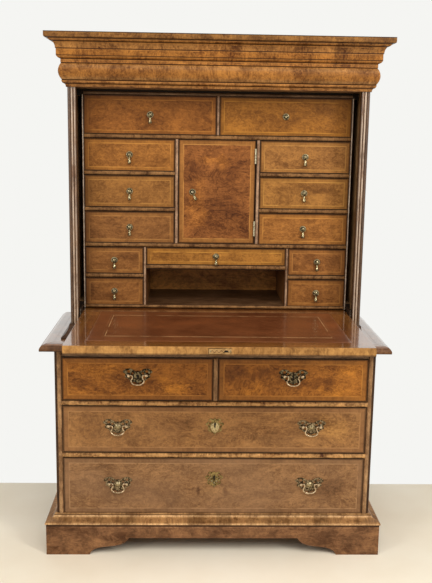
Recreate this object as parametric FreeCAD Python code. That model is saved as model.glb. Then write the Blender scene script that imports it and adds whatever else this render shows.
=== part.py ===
import FreeCAD, Part
import os

V = FreeCAD.Vector

# Main planes: x to the right, the front towards -y, z up from the floor
fall_reach = 395.0
case_depth = 372.0
base_lead = 59.0
nest_recess = 94.0
upper_width = 886.0
base_step = 43.0

# Plinth with bracket feet
plinth_height = 98.0
plinth_project = 30.5
plinth_board_t = 22.0
front_foot_length = 133.0
front_foot_curve = 122.0
side_foot_length = 80.0
side_foot_curve = 95.0
arch_height = 55.0
foot_rise_share = (0.12, 0.80)
foot_fall_share = (0.81, 0.18)

# Plinth moulding
plinth_moulding_h = 27.0
plinth_moulding_fillet = 5.0
plinth_moulding_top = 7.0
plinth_moulding_lip = 4.0
plinth_moulding_cover = 2.0
moulding_cove_share = 0.32

# Base carcass
base_side_t = 22.0
base_bottom_t = 18.0
panel_back_t = 8.0
low_opening_h = 180.0
middle_opening_h = 146.0
top_opening_h = 132.0
rail_h = 20.0
top_rail_h = 27.0
rail_depth = 40.0
divider_t = 16.0
runner_w = 24.0
centre_runner_w = 40.0
well_board_t = 5.0
base_top_t = 21.0
well_inset = 15.0
well_back_board = 107.0
well_side_gap = 5.0

# Waist moulding
waist_project = 39.0
waist_edge_h = 7.0
waist_land = 20.0
waist_round_share = 0.66

# Upper case
upper_side_t = 15.0
column_w = 25.0
column_t = 20.0
reed_count = 3
reed_depth = 3.2
upper_top_t = 16.0
foot_moulding_h = 43.0
foot_moulding_flare = 27.0
foot_moulding_fillet = 5.0
foot_moulding_neck = 4.0
foot_cove_share = 0.36

# Cornice, from the architrave up to the crown
architrave_h = 19.1
architrave_foot = 3.0
architrave_cove_h = 9.4
architrave_cove_project = 6.5
architrave_project = 14.0
architrave_lip = 2.0
cove_mid_share = 0.36
quirk = 1.8
round_mid_share = 0.707
frieze_h = 48.0
frieze_swell = 22.3
neck_project = 15.6
crown_neck_h = 11.4
crown_round_h = 8.8
fascia_project = 26.8
fascia_h = 19.0
crown_cove_h = 19.0
crown_cove_project = 36.0
crown_ovolo_h = 8.0
crown_ovolo_project = 47.0
corona_project = 57.0
corona_h = 17.2
corona_round = 5.0
cornice_board_t = 16.0
roof_t = 8.0

# Fall: three layers, an edging, leather, a lock plate and two pivot brackets
fall_lift = 73.0
fall_side_gap = 7.0
fall_face_t = 7.0
fall_core_t = 8.5
fall_groove = 6.0
fall_edging_t = 4.0
fall_setback = 2.0
fall_tuck = 20.0
fall_top_gap = 2.0
leather_t = 0.6
leather_side_margin = 55.0
leather_front_margin = 56.0
leather_length = 380.0
lock_plate_w = 62.0
lock_plate_h = 16.0
lock_plate_t = 1.0
pivot_rise = 10.0
bracket_t = 4.0
bracket_gap = 1.0
bracket_front = 28.0
bracket_back = 30.0
bracket_up = 8.0
bracket_down = 29.0
tongue_fit = 0.2
tongue_tip_gap = 0.5
pivot_pin_r = 3.0
pivot_pin_seat = 6.0
pivot_bore_extra = 1.0

# Nest of drawers
nest_inset = 14.0
nest_side_t = 6.0
nest_lift = 2.0
nest_bottom_t = 11.0
nest_top_t = 16.5
nest_shelf_t = 16.0
bearer_h = 20.0
small_low_h = 84.0
small_high_h = 81.0
row_h = 95.0
row_count = 3
wide_h = 114.0
centre_h = 52.0
wide_divider_t = 10.0
door_divider_t = 13.0
small_divider_t = 9.0
door_opening_w = 236.0
small_bay_w = 181.0

# Door on two butt hinges at its right edge
door_t = 16.0
door_gap = 1.0
door_pull_inset = 41.0
hinge_leaf_t = 1.0
hinge_leaf_gap = 0.6
hinge_leaf_w = 13.0
hinge_h = 46.0
hinge_inset = 24.0
knuckle_r = 3.0
knuckle_gap = 0.3
hinge_pin_r = 1.2

# Drawer boxes
drawer_seat = 0.3
base_drawer_gap = 1.2
base_front_t = 20.0
base_box_side_t = 11.0
base_box_bottom_t = 6.0
base_box_gap = 18.0
base_box_drop = 8.0
nest_drawer_gap = 1.0
nest_front_t = 10.0
nest_box_side_t = 6.0
nest_box_bottom_t = 4.0
nest_box_gap = 22.0
nest_box_drop = 4.0
box_bottom_rise = 3.0
lock_case_w = 64.0
lock_case_h = 46.0
lock_case_t = 12.0
lock_case_drop = 6.0

# Brass back plates, posts and swan-neck bails of the base drawers
plate_w = 88.0
plate_h = 48.0
plate_t = 1.6
plate_drop = 5.0
plate_keyhole_lift = 2.5
plate_outline_shares = (
    (0.00, 0.72), (0.18, 0.66), (0.34, 0.86), (0.58, 1.00), (0.86, 0.88), (1.00, 0.52), (0.84, 0.26),
    (0.88, -0.06), (0.66, -0.30), (0.50, -0.62), (0.24, -0.76), (0.00, -1.00),
)
plate_hole_shares = ((0.62, 0.62, 0.20), (0.36, 0.38, 0.15), (0.44, -0.16, 0.20))
post_spread = 54.0
post_r = 3.5
post_length = 11.0
post_end = 4.0
bail_pin_r = 1.9
pin_fit = 0.05
bail_end_gap = 1.0
bail_wire_r = 2.3
bail_post_gap = 0.8
bail_drop = 29.5
bail_shares = (
    (1.00, 0.00), (0.80, 0.08), (0.74, 0.24), (0.94, 0.54), (0.72, 0.86), (0.34, 0.97), (0.00, 1.00),
)
top_handle_lift = 14.0
middle_handle_lift = 13.0
low_handle_lift = 9.0
long_handle_inset = 167.0
escutcheon_w = 56.0
escutcheon_h = 56.0
escutcheon_keyhole_lift = 8.0
escutcheon_shares = (
    (0.00, 1.00), (0.24, 0.80), (0.56, 0.88), (0.70, 0.54), (1.00, 0.24), (0.72, -0.08),
    (0.74, -0.46), (0.40, -0.66), (0.00, -1.00),
)
escutcheon_hole_shares = ((0.52, 0.52, 0.14), (0.66, 0.16, 0.11), (0.48, -0.36, 0.13))
keyhole_r = 3.0
keyhole_w = 3.6
keyhole_h = 11.0
middle_escutcheon_lift = 11.0
low_escutcheon_lift = 22.0

# Drop pulls of the nest
rose_r = 9.5
rose_t = 2.5
stub_r = 2.8
stub_length = 9.0
stub_end = 2.6
drop_pin_r = 1.0
drop_cheek_t = 1.5
drop_cheek_gap = 0.5
drop_cheek_w = 3.0
drop_bridge_gap = 1.9
drop_bridge_t = 2.5
drop_neck_r = 1.6
drop_swell_r = 4.6
drop_length = 28.0

# Planes and heights worked out from the sizes above
upper_half = upper_width / 2
base_half = upper_half + base_step
column_y = (fall_reach - case_depth) / 2
back_y = column_y + case_depth
base_y = column_y - base_lead
nest_y = column_y + nest_recess
carcass_z = plinth_height + plinth_moulding_h
low_top_z = carcass_z + low_opening_h
middle_z = low_top_z + rail_h
middle_top_z = middle_z + middle_opening_h
top_z = middle_top_z + rail_h
top_top_z = top_z + top_opening_h
base_top_z = top_top_z + top_rail_h
deck_z = base_top_z + base_top_t
base_clear = base_half - base_side_t
inner_back_y = back_y - panel_back_t
writing_z = deck_z + fall_lift
fall_half = upper_half - column_w - fall_side_gap
fall_t = 2 * fall_face_t + fall_core_t
upper_clear = upper_half - upper_side_t
nest_half = upper_clear - nest_inset
nest_clear = nest_half - nest_side_t
nest_z = writing_z + nest_lift
bay_z = nest_z + nest_bottom_t
small_high_z = bay_z + small_low_h + nest_shelf_t
small_top_z = small_high_z + small_high_h
rows_z = small_top_z + nest_shelf_t
row_pitch = row_h + nest_shelf_t
rows_top_z = rows_z + row_count * row_pitch - nest_shelf_t
wide_z = rows_top_z + nest_shelf_t
wide_top_z = wide_z + wide_h
case_top_z = wide_top_z + nest_top_t
centre_z = small_top_z - centre_h
door_half = door_opening_w / 2
row_bay_x = door_half + door_divider_t
small_bay_x = nest_clear - small_bay_w
centre_half = small_bay_x - small_divider_t
fall_length = case_top_z - fall_top_gap - writing_z + fall_tuck
fall_y = column_y - fall_reach + lock_plate_t
pivot_y = column_y + fall_setback + fall_t + pivot_rise
pivot_z = writing_z + pivot_rise


def board(x0, x1, y0, y1, z0, z1):
    """Flat board between six planes."""
    return Part.makeBox(x1 - x0, y1 - y0, z1 - z0, V(x0, y0, z0))


def both_sides(x0, x1, y0, y1, z0, z1):
    """The same board at the right and at the left."""
    return [board(x0, x1, y0, y1, z0, z1), board(-x1, -x0, y0, y1, z0, z1)]


def rod(point, direction, radius, length):
    """Cylinder from a point along a direction."""
    return Part.makeCylinder(radius, length, point, direction)


def fuse(solids):
    """One solid from pieces that overlap."""
    return solids[0].multiFuse(solids[1:]).removeSplitter()


def line_to(edges, start, end):
    edges.append(Part.LineSegment(start, end).toShape())
    return end


def arc_to(edges, start, middle, end):
    edges.append(Part.Arc(start, middle, end).toShape())
    return end


def pierced_sheet(x, z, width, height, outline_shares, hole_shares, keyhole_z):
    """Brass sheet on a base drawer's front, alike on both sides of x, with round piercings."""
    half_w = width / 2
    half_h = height / 2
    edges = []
    for side in (1, -1):
        spots = []
        for across, up in outline_shares:
            spots.append(V(x + side * across * half_w, base_y, z + up * half_h))
        curve = Part.BSplineCurve()
        curve.interpolate(spots)
        edges.append(curve.toShape())
    outward = V(0, -1, 0)
    sheet = Part.Face(Part.Wire(edges)).extrude(V(0, -plate_t, 0))
    cuts = []
    for across, up, radius in hole_shares:
        for side in (1, -1):
            spot = V(x + side * across * half_w, base_y, z + up * half_h)
            cuts.append(rod(spot, outward, radius * half_h, plate_t))
    if keyhole_z is not None:
        cuts.append(rod(V(x, base_y, keyhole_z), outward, keyhole_r, plate_t))
        slot_half = keyhole_w / 2
        slot_low = keyhole_z - keyhole_h
        cuts.append(board(x - slot_half, x + slot_half, base_y - plate_t, base_y, slot_low, keyhole_z))
    return sheet.cut(cuts)


def save(name, solids):
    """Writes one sub-part, a single solid or a group, to its own file."""
    shape = solids[0] if len(solids) == 1 else Part.makeCompound(solids)
    shape.exportStep("parts/" + name + ".step")


def mitred(section, half, front_y, inner, outer):
    """Front and side lengths of one moulding, mitred at both front corners.

    section maps a place-making function to the edges of the profile; inner and outer are how far
    the profile reaches inside and outside the faces that it runs round.
    """
    def front_point(offset, z):
        return V(-half - outer, front_y - offset, z)

    def side_point(offset, z):
        return V(half + offset, front_y - outer, z)

    front = Part.Face(Part.Wire(section(front_point))).extrude(V(2 * (half + outer), 0, 0))
    side = Part.Face(Part.Wire(section(side_point))).extrude(V(0, back_y - front_y + outer, 0))
    low = front.BoundBox.ZMin
    height = V(0, 0, front.BoundBox.ZLength)
    out_y = front_y - outer
    in_y = front_y + inner
    out_x = half + outer
    in_x = half - inner
    front_plan = [V(-out_x, out_y, low), V(out_x, out_y, low), V(in_x, in_y, low), V(-in_x, in_y, low)]
    side_plan = [V(out_x, out_y, low), V(out_x, back_y, low), V(in_x, back_y, low), V(in_x, in_y, low)]
    front = front.common(Part.Face(Part.makePolygon(front_plan + front_plan[:1])).extrude(height))
    side = side.common(Part.Face(Part.makePolygon(side_plan + side_plan[:1])).extrude(height))
    other = side.mirror(V(0, 0, 0), V(1, 0, 0))
    return [front.Solids[0], side.Solids[0], other.Solids[0]]


def foot_outline(place, length, foot, curve):
    """Plinth board's outline: two feet with ogee brackets and the arch between them."""
    half = length / 2
    edges = []
    here = place(-half, plinth_height)
    here = line_to(edges, here, place(-half, 0))
    here = line_to(edges, here, place(-half + foot, 0))
    for side in (-1, 1):
        spots = []
        for run, rise in ((0, 0), foot_rise_share, foot_fall_share, (1, 1)):
            spots.append(place(side * (half - foot - run * curve), rise * arch_height))
        if side > 0:
            here = line_to(edges, here, spots[-1])
            spots.reverse()
        bracket = Part.BezierCurve()
        bracket.setPoles(spots)
        edges.append(bracket.toShape())
        here = spots[-1]
    here = line_to(edges, here, place(half, 0))
    here = line_to(edges, here, place(half, plinth_height))
    line_to(edges, here, place(-half, plinth_height))
    return Part.Face(Part.Wire(edges))


def plinth():
    half = base_half + plinth_project
    front_y = base_y - plinth_project
    side_y = front_y + plinth_board_t
    side_length = back_y - side_y
    middle_y = (side_y + back_y) / 2

    def on_front(along, z):
        return V(along, front_y, z)

    def on_side(along, z):
        return V(half - plinth_board_t, middle_y + along, z)

    front = foot_outline(on_front, 2 * half, front_foot_length, front_foot_curve)
    side = foot_outline(on_side, side_length, side_foot_length, side_foot_curve)
    side = side.extrude(V(plinth_board_t, 0, 0))
    inner = half - plinth_board_t
    rear = board(-inner, inner, back_y - plinth_board_t, back_y, 0, plinth_height)
    return [front.extrude(V(0, plinth_board_t, 0)), side, side.mirror(V(0, 0, 0), V(1, 0, 0)), rear]


def plinth_moulding():
    inner = base_side_t + plinth_moulding_cover
    top_z = carcass_z - plinth_moulding_lip
    cove_z = plinth_height + plinth_moulding_fillet

    def section(place):
        edges = []
        here = place(-inner, plinth_height)
        here = line_to(edges, here, place(plinth_project, plinth_height))
        here = line_to(edges, here, place(plinth_project, cove_z))
        run = plinth_project - plinth_moulding_top
        middle = place(plinth_moulding_top + moulding_cove_share * run,
                       cove_z + moulding_cove_share * (top_z - cove_z))
        here = arc_to(edges, here, middle, place(plinth_moulding_top, top_z))
        here = line_to(edges, here, place(plinth_moulding_top, carcass_z))
        here = line_to(edges, here, place(-inner, carcass_z))
        line_to(edges, here, place(-inner, plinth_height))
        return edges

    return mitred(section, base_half, base_y, inner, plinth_project)


def base_boards():
    """Bottom board, drawer runners and the boards that close the well below."""
    half = base_half - base_side_t - plinth_moulding_cover
    front_y = base_y + base_side_t + plinth_moulding_cover
    solids = [board(-half, half, front_y, back_y, carcass_z - base_bottom_t, carcass_z)]
    behind = base_y + rail_depth
    for low in (low_top_z, middle_top_z):
        solids += both_sides(base_clear - runner_w, base_clear, behind, inner_back_y, low, low + rail_h)
    wide = centre_runner_w / 2
    solids.append(board(-wide, wide, behind, inner_back_y, middle_top_z, top_z))
    low = top_top_z - well_board_t
    solids += both_sides(divider_t / 2, base_clear, behind, inner_back_y, low, top_top_z)
    return solids


def base_rails():
    """Rails across the front and the upright between the short drawers."""
    behind = base_y + rail_depth
    solids = []
    for low, high in ((low_top_z, middle_z), (middle_top_z, top_z), (top_top_z, base_top_z)):
        solids.append(board(-base_clear, base_clear, base_y, behind, low, high))
    solids.append(board(-divider_t / 2, divider_t / 2, base_y, inner_back_y, top_z, top_top_z))
    return solids


def base_top():
    """Top framed in four boards round the well."""
    well_half = fall_half + well_side_gap
    well_y = column_y + well_inset
    well_back = back_y - well_back_board
    solids = [board(-base_half, base_half, base_y, well_y, base_top_z, deck_z)]
    solids.append(board(-base_half, base_half, well_back, back_y, base_top_z, deck_z))
    solids += both_sides(well_half, base_half, well_y, well_back, base_top_z, deck_z)
    return solids


def waist_moulding():
    round_z = base_top_z + waist_edge_h
    run = waist_project - waist_land
    rise = deck_z - round_z

    def section(place):
        edges = []
        here = place(0, base_top_z)
        here = line_to(edges, here, place(waist_project, base_top_z))
        here = line_to(edges, here, place(waist_project, round_z))
        middle = place(waist_land + waist_round_share * run, round_z + waist_round_share * rise)
        here = arc_to(edges, here, middle, place(waist_land, deck_z))
        here = line_to(edges, here, place(0, deck_z))
        line_to(edges, here, place(0, base_top_z))
        return edges

    return mitred(section, base_half, base_y, 0, waist_project)


def foot_moulding():
    high = deck_z + foot_moulding_h
    low = deck_z + foot_moulding_fillet
    run = foot_moulding_flare - foot_moulding_neck

    def section(place):
        edges = []
        here = place(0, deck_z)
        here = line_to(edges, here, place(foot_moulding_flare, deck_z))
        here = line_to(edges, here, place(foot_moulding_flare, low))
        middle = place(foot_moulding_neck + foot_cove_share * run, low + foot_cove_share * (high - low))
        here = arc_to(edges, here, middle, place(foot_moulding_neck, high))
        here = line_to(edges, here, place(0, high))
        line_to(edges, here, place(0, deck_z))
        return edges

    return mitred(section, upper_half, column_y, 0, foot_moulding_flare)


def upper_sides():
    """Side panels, each bored for a pivot of the fall."""
    solids = []
    depth = pivot_pin_seat + pivot_bore_extra
    for side in (1, -1):
        inner = side * upper_clear
        outer = side * upper_half
        panel = board(min(inner, outer), max(inner, outer), column_y + column_t, back_y, deck_z, case_top_z)
        bore = rod(V(inner, pivot_y, pivot_z), V(side, 0, 0), pivot_pin_r + pin_fit, depth)
        solids.append(panel.cut(bore))
    return solids


def columns():
    """Reeded uprights on the front edges of the sides."""
    ground_y = column_y + reed_depth
    rear_y = column_y + column_t
    reed_w = column_w / reed_count
    edges = []
    inner = upper_half - column_w
    here = V(inner, ground_y, deck_z)
    for reed in range(reed_count):
        left = inner + reed * reed_w
        crest = V(left + reed_w / 2, column_y, deck_z)
        here = arc_to(edges, here, crest, V(left + reed_w, ground_y, deck_z))
    here = line_to(edges, here, V(upper_half, rear_y, deck_z))
    here = line_to(edges, here, V(inner, rear_y, deck_z))
    line_to(edges, here, V(inner, ground_y, deck_z))
    column = Part.Face(Part.Wire(edges)).extrude(V(0, 0, case_top_z - deck_z))
    return [column, column.mirror(V(0, 0, 0), V(1, 0, 0))]


def cornice_frame():
    """Case top, the box behind the cornice and its roof."""
    box_z = case_top_z + upper_top_t
    roof_z = cornice_top() - roof_t
    inner = upper_half - cornice_board_t
    solids = [board(-upper_half, upper_half, column_y, back_y, case_top_z, box_z)]
    solids.append(board(-upper_half, upper_half, column_y, column_y + cornice_board_t, box_z, roof_z))
    solids += both_sides(inner, upper_half, column_y + cornice_board_t, back_y, box_z, roof_z)
    solids.append(board(-inner, inner, back_y - cornice_board_t, back_y, box_z, roof_z))
    solids.append(board(-upper_half, upper_half, column_y, back_y, roof_z, cornice_top()))
    return solids


def crown_z():
    return case_top_z + architrave_h + frieze_h


def cornice_top():
    shaped = crown_neck_h + crown_round_h + fascia_h + crown_cove_h + crown_ovolo_h
    return crown_z() + shaped + corona_h


def cornice_frieze():
    """Lower moulding and the cushion frieze above it."""
    frieze_z = case_top_z + architrave_h
    ovolo_z = case_top_z + architrave_cove_h
    ovolo_top_z = frieze_z - architrave_lip
    cove_run = architrave_cove_project - architrave_foot
    ovolo_x = architrave_cove_project + quirk
    ovolo_run = architrave_project - ovolo_x

    def architrave(place):
        edges = []
        here = place(0, case_top_z)
        here = line_to(edges, here, place(architrave_foot, case_top_z))
        middle = place(architrave_foot + cove_mid_share * cove_run,
                       ovolo_z - cove_mid_share * architrave_cove_h)
        here = arc_to(edges, here, middle, place(architrave_cove_project, ovolo_z))
        here = line_to(edges, here, place(ovolo_x, ovolo_z))
        middle = place(architrave_project - cove_mid_share * ovolo_run,
                       ovolo_z + cove_mid_share * (ovolo_top_z - ovolo_z))
        here = arc_to(edges, here, middle, place(architrave_project, ovolo_top_z))
        here = line_to(edges, here, place(architrave_project, frieze_z))
        here = line_to(edges, here, place(0, frieze_z))
        line_to(edges, here, place(0, case_top_z))
        return edges

    def cushion(place):
        edges = []
        here = place(0, frieze_z)
        here = line_to(edges, here, place(architrave_project - quirk, frieze_z))
        middle = place(frieze_swell, frieze_z + frieze_h / 2)
        here = arc_to(edges, here, middle, place(neck_project - quirk, crown_z()))
        here = line_to(edges, here, place(0, crown_z()))
        line_to(edges, here, place(0, frieze_z))
        return edges

    lower = mitred(architrave, upper_half, column_y, 0, architrave_project)
    return lower + mitred(cushion, upper_half, column_y, 0, frieze_swell)


def cornice_crown():
    """Neck, quarter round, fascia, cove, ovolo and the top edge."""
    round_z = crown_z() + crown_neck_h
    fascia_z = round_z + crown_round_h
    cove_z = fascia_z + fascia_h
    ovolo_z = cove_z + crown_cove_h
    corona_z = ovolo_z + crown_ovolo_h
    round_run = fascia_project - neck_project
    cove_x = fascia_project + quirk
    cove_run = crown_cove_project - cove_x
    ovolo_x = crown_cove_project + quirk
    ovolo_run = crown_ovolo_project - ovolo_x
    round_x = corona_project - corona_round

    def section(place):
        edges = []
        here = place(0, crown_z())
        here = line_to(edges, here, place(neck_project, crown_z()))
        here = line_to(edges, here, place(neck_project, round_z))
        middle = place(neck_project + (1 - cove_mid_share) * round_run,
                       round_z + cove_mid_share * crown_round_h)
        here = arc_to(edges, here, middle, place(fascia_project, fascia_z))
        here = line_to(edges, here, place(fascia_project, cove_z))
        here = line_to(edges, here, place(cove_x, cove_z))
        middle = place(cove_x + cove_mid_share * cove_run, ovolo_z - cove_mid_share * crown_cove_h)
        here = arc_to(edges, here, middle, place(crown_cove_project, ovolo_z))
        here = line_to(edges, here, place(ovolo_x, ovolo_z))
        middle = place(crown_ovolo_project - cove_mid_share * ovolo_run,
                       ovolo_z + cove_mid_share * crown_ovolo_h)
        here = arc_to(edges, here, middle, place(crown_ovolo_project, corona_z))
        here = line_to(edges, here, place(round_x, corona_z))
        middle = place(round_x + round_mid_share * corona_round,
                       corona_z + (1 - round_mid_share) * corona_round)
        here = arc_to(edges, here, middle, place(corona_project, corona_z + corona_round))
        here = line_to(edges, here, place(corona_project, cornice_top()))
        here = line_to(edges, here, place(0, cornice_top()))
        line_to(edges, here, place(0, crown_z()))
        return edges

    return mitred(section, upper_half, column_y, 0, corona_project)


def nest_boards():
    """Outer boards, shelves and uprights of the nest, with the bearers that carry it."""
    def shelf(x0, x1, z0, z1):
        return board(x0, x1, nest_y, inner_back_y, z0, z1)

    def shelf_pair(x0, x1, z0, z1):
        return both_sides(x0, x1, nest_y, inner_back_y, z0, z1)

    solids = [shelf(-nest_clear, nest_clear, nest_z, bay_z)]
    solids.append(shelf(-nest_clear, nest_clear, wide_top_z, case_top_z))
    solids += shelf_pair(nest_clear, nest_half, nest_z, case_top_z)
    solids += shelf_pair(nest_half, upper_clear, nest_z, nest_z + bearer_h)
    solids += shelf_pair(nest_half, upper_clear, case_top_z - bearer_h, case_top_z)
    for low in (small_top_z, rows_top_z):
        solids.append(shelf(-nest_clear, nest_clear, low, low + nest_shelf_t))
    low = bay_z + small_low_h
    solids += shelf_pair(small_bay_x, nest_clear, low, low + nest_shelf_t)
    solids.append(shelf(-centre_half, centre_half, centre_z - nest_shelf_t, centre_z))
    for row in range(1, row_count):
        low = rows_z + row * row_pitch - nest_shelf_t
        solids += shelf_pair(row_bay_x, nest_clear, low, low + nest_shelf_t)
    solids += shelf_pair(door_half, row_bay_x, rows_z, rows_top_z)
    solids += shelf_pair(centre_half, small_bay_x, bay_z, small_top_z)
    solids.append(shelf(-wide_divider_t / 2, wide_divider_t / 2, wide_z, wide_top_z))
    return solids


def drawer_box(x0, x1, z0, z1, front_y, front_t, side_t, bottom_t, length, drop):
    """Front, two sides, back and bottom of a drawer."""
    rear_y = front_y + length
    inside_y = front_y + front_t
    high = z1 - drop
    low = z0 + box_bottom_rise
    solids = [board(x0, x1, front_y, inside_y, z0, z1)]
    solids.append(board(x0, x0 + side_t, inside_y, rear_y, z0, high))
    solids.append(board(x1 - side_t, x1, inside_y, rear_y, z0, high))
    solids.append(board(x0 + side_t, x1 - side_t, rear_y - side_t, rear_y, z0, high))
    solids.append(board(x0 + side_t, x1 - side_t, inside_y, rear_y - side_t, low, low + bottom_t))
    return solids


def back_plate(x, z, keyhole):
    """Pierced plate with two posts, bored for the bail."""
    plate_z = z - plate_drop
    keyhole_z = plate_z + plate_keyhole_lift if keyhole else None
    solids = [pierced_sheet(x, plate_z, plate_w, plate_h, plate_outline_shares, plate_hole_shares,
                            keyhole_z)]
    pin_y = base_y - plate_t - post_length + post_end
    for side in (1, -1):
        post_x = x + side * post_spread / 2
        post = rod(V(post_x, base_y - plate_t, z), V(0, -1, 0), post_r, post_length)
        bore = rod(V(post_x - 2 * post_r, pin_y, z), V(1, 0, 0), bail_pin_r + pin_fit, 4 * post_r)
        solids.append(post.cut(bore))
    return solids


def bail(x, z):
    """Swan-neck bail that hangs from two posts."""
    pin_y = base_y - plate_t - post_length + post_end
    half = post_spread / 2 - post_r - bail_post_gap - bail_wire_r
    pin_tip = post_spread / 2 + post_r + bail_end_gap
    pieces = []
    for side in (1, -1):
        spots = []
        for across, down in bail_shares:
            spots.append(V(x + side * across * half, pin_y, z - down * bail_drop))
        pieces.append(rod(spots[0], V(side, 0, 0), bail_pin_r, pin_tip - half))
        for start, end in zip(spots, spots[1:]):
            step = end - start
            pieces.append(rod(start, step, bail_wire_r, step.Length))
            pieces.append(Part.makeSphere(bail_wire_r, start))
    pieces.append(Part.makeSphere(bail_wire_r, V(x, pin_y, z - bail_drop)))
    return [fuse(pieces)]


def escutcheon(z):
    """Shield over a keyhole in the middle of a long drawer."""
    keyhole_z = z + escutcheon_keyhole_lift
    return pierced_sheet(0, z, escutcheon_w, escutcheon_h, escutcheon_shares, escutcheon_hole_shares,
                         keyhole_z)


def lock_case(x, high):
    """Lock behind a drawer front."""
    half = lock_case_w / 2
    inside_y = base_y + base_front_t
    top = high - lock_case_drop
    return board(x - half, x + half, inside_y, inside_y + lock_case_t, top - lock_case_h, top)


def base_drawer(name, x0, x1, z0, z1, handles, handle_lift, shield_lift):
    """One base drawer with its brass, and its bails as sub-parts of their own."""
    left = x0 + base_drawer_gap
    right = x1 - base_drawer_gap
    low = z0 + drawer_seat
    high = z1 - base_drawer_gap
    solids = drawer_box(left, right, low, high, base_y, base_front_t, base_box_side_t,
                        base_box_bottom_t, inner_back_y - base_y - base_box_gap, base_box_drop)
    solids.append(lock_case((x0 + x1) / 2, high - base_box_drop))
    middle_z = (z0 + z1) / 2
    for x in handles:
        solids += back_plate(x, middle_z + handle_lift, not shield_lift)
    if shield_lift:
        solids.append(escutcheon(middle_z + shield_lift))
    save(name, solids)
    sides = ("left", "right") if len(handles) > 1 else ("",)
    for side, x in zip(sides, handles):
        ending = "_" + side if side else ""
        save(name.replace("drawer", "bail") + ending, bail(x, middle_z + handle_lift))


def drop_stub(x, z):
    """Rose and bored stub that a drop hangs from."""
    rose = rod(V(x, nest_y, z), V(0, -1, 0), rose_r, rose_t)
    stub = rod(V(x, nest_y - rose_t, z), V(0, -1, 0), stub_r, stub_length)
    pin_y = nest_y - rose_t - stub_length + stub_end
    bore = rod(V(x - 2 * stub_r, pin_y, z), V(1, 0, 0), drop_pin_r + pin_fit, 4 * stub_r)
    return [rose, stub.cut(bore)]


def drop(x, z):
    """Teardrop on a pin through the stub, with a cheek on each side."""
    pin_y = nest_y - rose_t - stub_length + stub_end
    inner = stub_r + drop_cheek_gap
    outer = inner + drop_cheek_t
    bridge_z = z - stub_r - drop_bridge_gap
    neck_z = bridge_z - drop_bridge_t
    half = drop_cheek_w / 2
    swell_z = z - drop_length + drop_swell_r
    pieces = [rod(V(x - outer, pin_y, z), V(1, 0, 0), drop_pin_r, 2 * outer)]
    for x0, x1 in ((inner, outer), (-outer, -inner)):
        pieces.append(board(x + x0, x + x1, pin_y - half, pin_y + half, neck_z, z + half))
    pieces.append(board(x - outer, x + outer, pin_y - half, pin_y + half, neck_z, bridge_z))
    swell = V(x, pin_y, swell_z)
    pieces.append(Part.makeCone(drop_swell_r, drop_neck_r, neck_z - swell_z, swell, V(0, 0, 1)))
    pieces.append(Part.makeSphere(drop_swell_r, swell))
    return [fuse(pieces)]


def nest_drawer(name, x0, x1, z0, z1, with_drop=True):
    """One nest drawer with its rose, and its drop as a sub-part of its own."""
    gap = nest_drawer_gap
    solids = drawer_box(x0 + gap, x1 - gap, z0 + drawer_seat, z1 - gap, nest_y, nest_front_t,
                        nest_box_side_t, nest_box_bottom_t, inner_back_y - nest_y - nest_box_gap,
                        nest_box_drop)
    x = (x0 + x1) / 2
    z = (z0 + z1) / 2
    save("drawer_" + name, solids + drop_stub(x, z))
    if with_drop:
        save("drop_" + name, drop(x, z))


def door_edge():
    """Right edge of the door, clear of the two hinge leaves."""
    return door_half - 2 * hinge_leaf_t - hinge_leaf_gap


def hinge_places():
    """Low end of each butt hinge."""
    return (rows_z + hinge_inset, rows_top_z - hinge_inset - hinge_h)


def hinge_axis_x():
    return door_half - hinge_leaf_t - hinge_leaf_gap / 2


def door_hinges():
    """Fixed leaves on the right upright, each with its middle knuckle."""
    solids = []
    axis_y = nest_y - knuckle_r
    third = hinge_h / 3
    for low in hinge_places():
        leaf = board(door_half - hinge_leaf_t, door_half, axis_y, nest_y + hinge_leaf_w,
                     low + third + knuckle_gap, low + 2 * third - knuckle_gap)
        wing = board(door_half - hinge_leaf_t, door_half, nest_y, nest_y + hinge_leaf_w, low, low + hinge_h)
        start = V(hinge_axis_x(), axis_y, low + third + knuckle_gap)
        length = third - 2 * knuckle_gap
        knuckle = rod(start, V(0, 0, 1), knuckle_r, length)
        bore = rod(start, V(0, 0, 1), hinge_pin_r + pin_fit, length)
        solids.append(fuse([leaf, wing, knuckle]).cut(bore))
    return solids


def door_leaves():
    """Moving leaves on the door's edge, each with its outer knuckles and the pin."""
    solids = []
    axis_y = nest_y - knuckle_r
    third = hinge_h / 3
    inner = door_edge()
    for low in hinge_places():
        pieces = [board(inner, inner + hinge_leaf_t, nest_y, nest_y + hinge_leaf_w, low, low + hinge_h)]
        for start in (low, low + 2 * third):
            pieces.append(board(inner, inner + hinge_leaf_t, axis_y, nest_y + hinge_leaf_w,
                                start, start + third))
            pieces.append(rod(V(hinge_axis_x(), axis_y, start), V(0, 0, 1), knuckle_r, third))
        pieces.append(rod(V(hinge_axis_x(), axis_y, low), V(0, 0, 1), hinge_pin_r, hinge_h))
        solids.append(fuse(pieces))
    return solids


def door():
    """Door of the centre cupboard with its pull."""
    left = -door_half + door_gap
    low = rows_z + door_gap
    high = rows_top_z - door_gap
    x = left + door_pull_inset
    z = (rows_z + rows_top_z) / 2
    panel = board(left, door_edge(), nest_y, nest_y + door_t, low, high)
    save("door_panel", [panel])
    save("door_fittings", door_leaves() + drop_stub(x, z))
    save("drop_door", drop(x, z))


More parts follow.
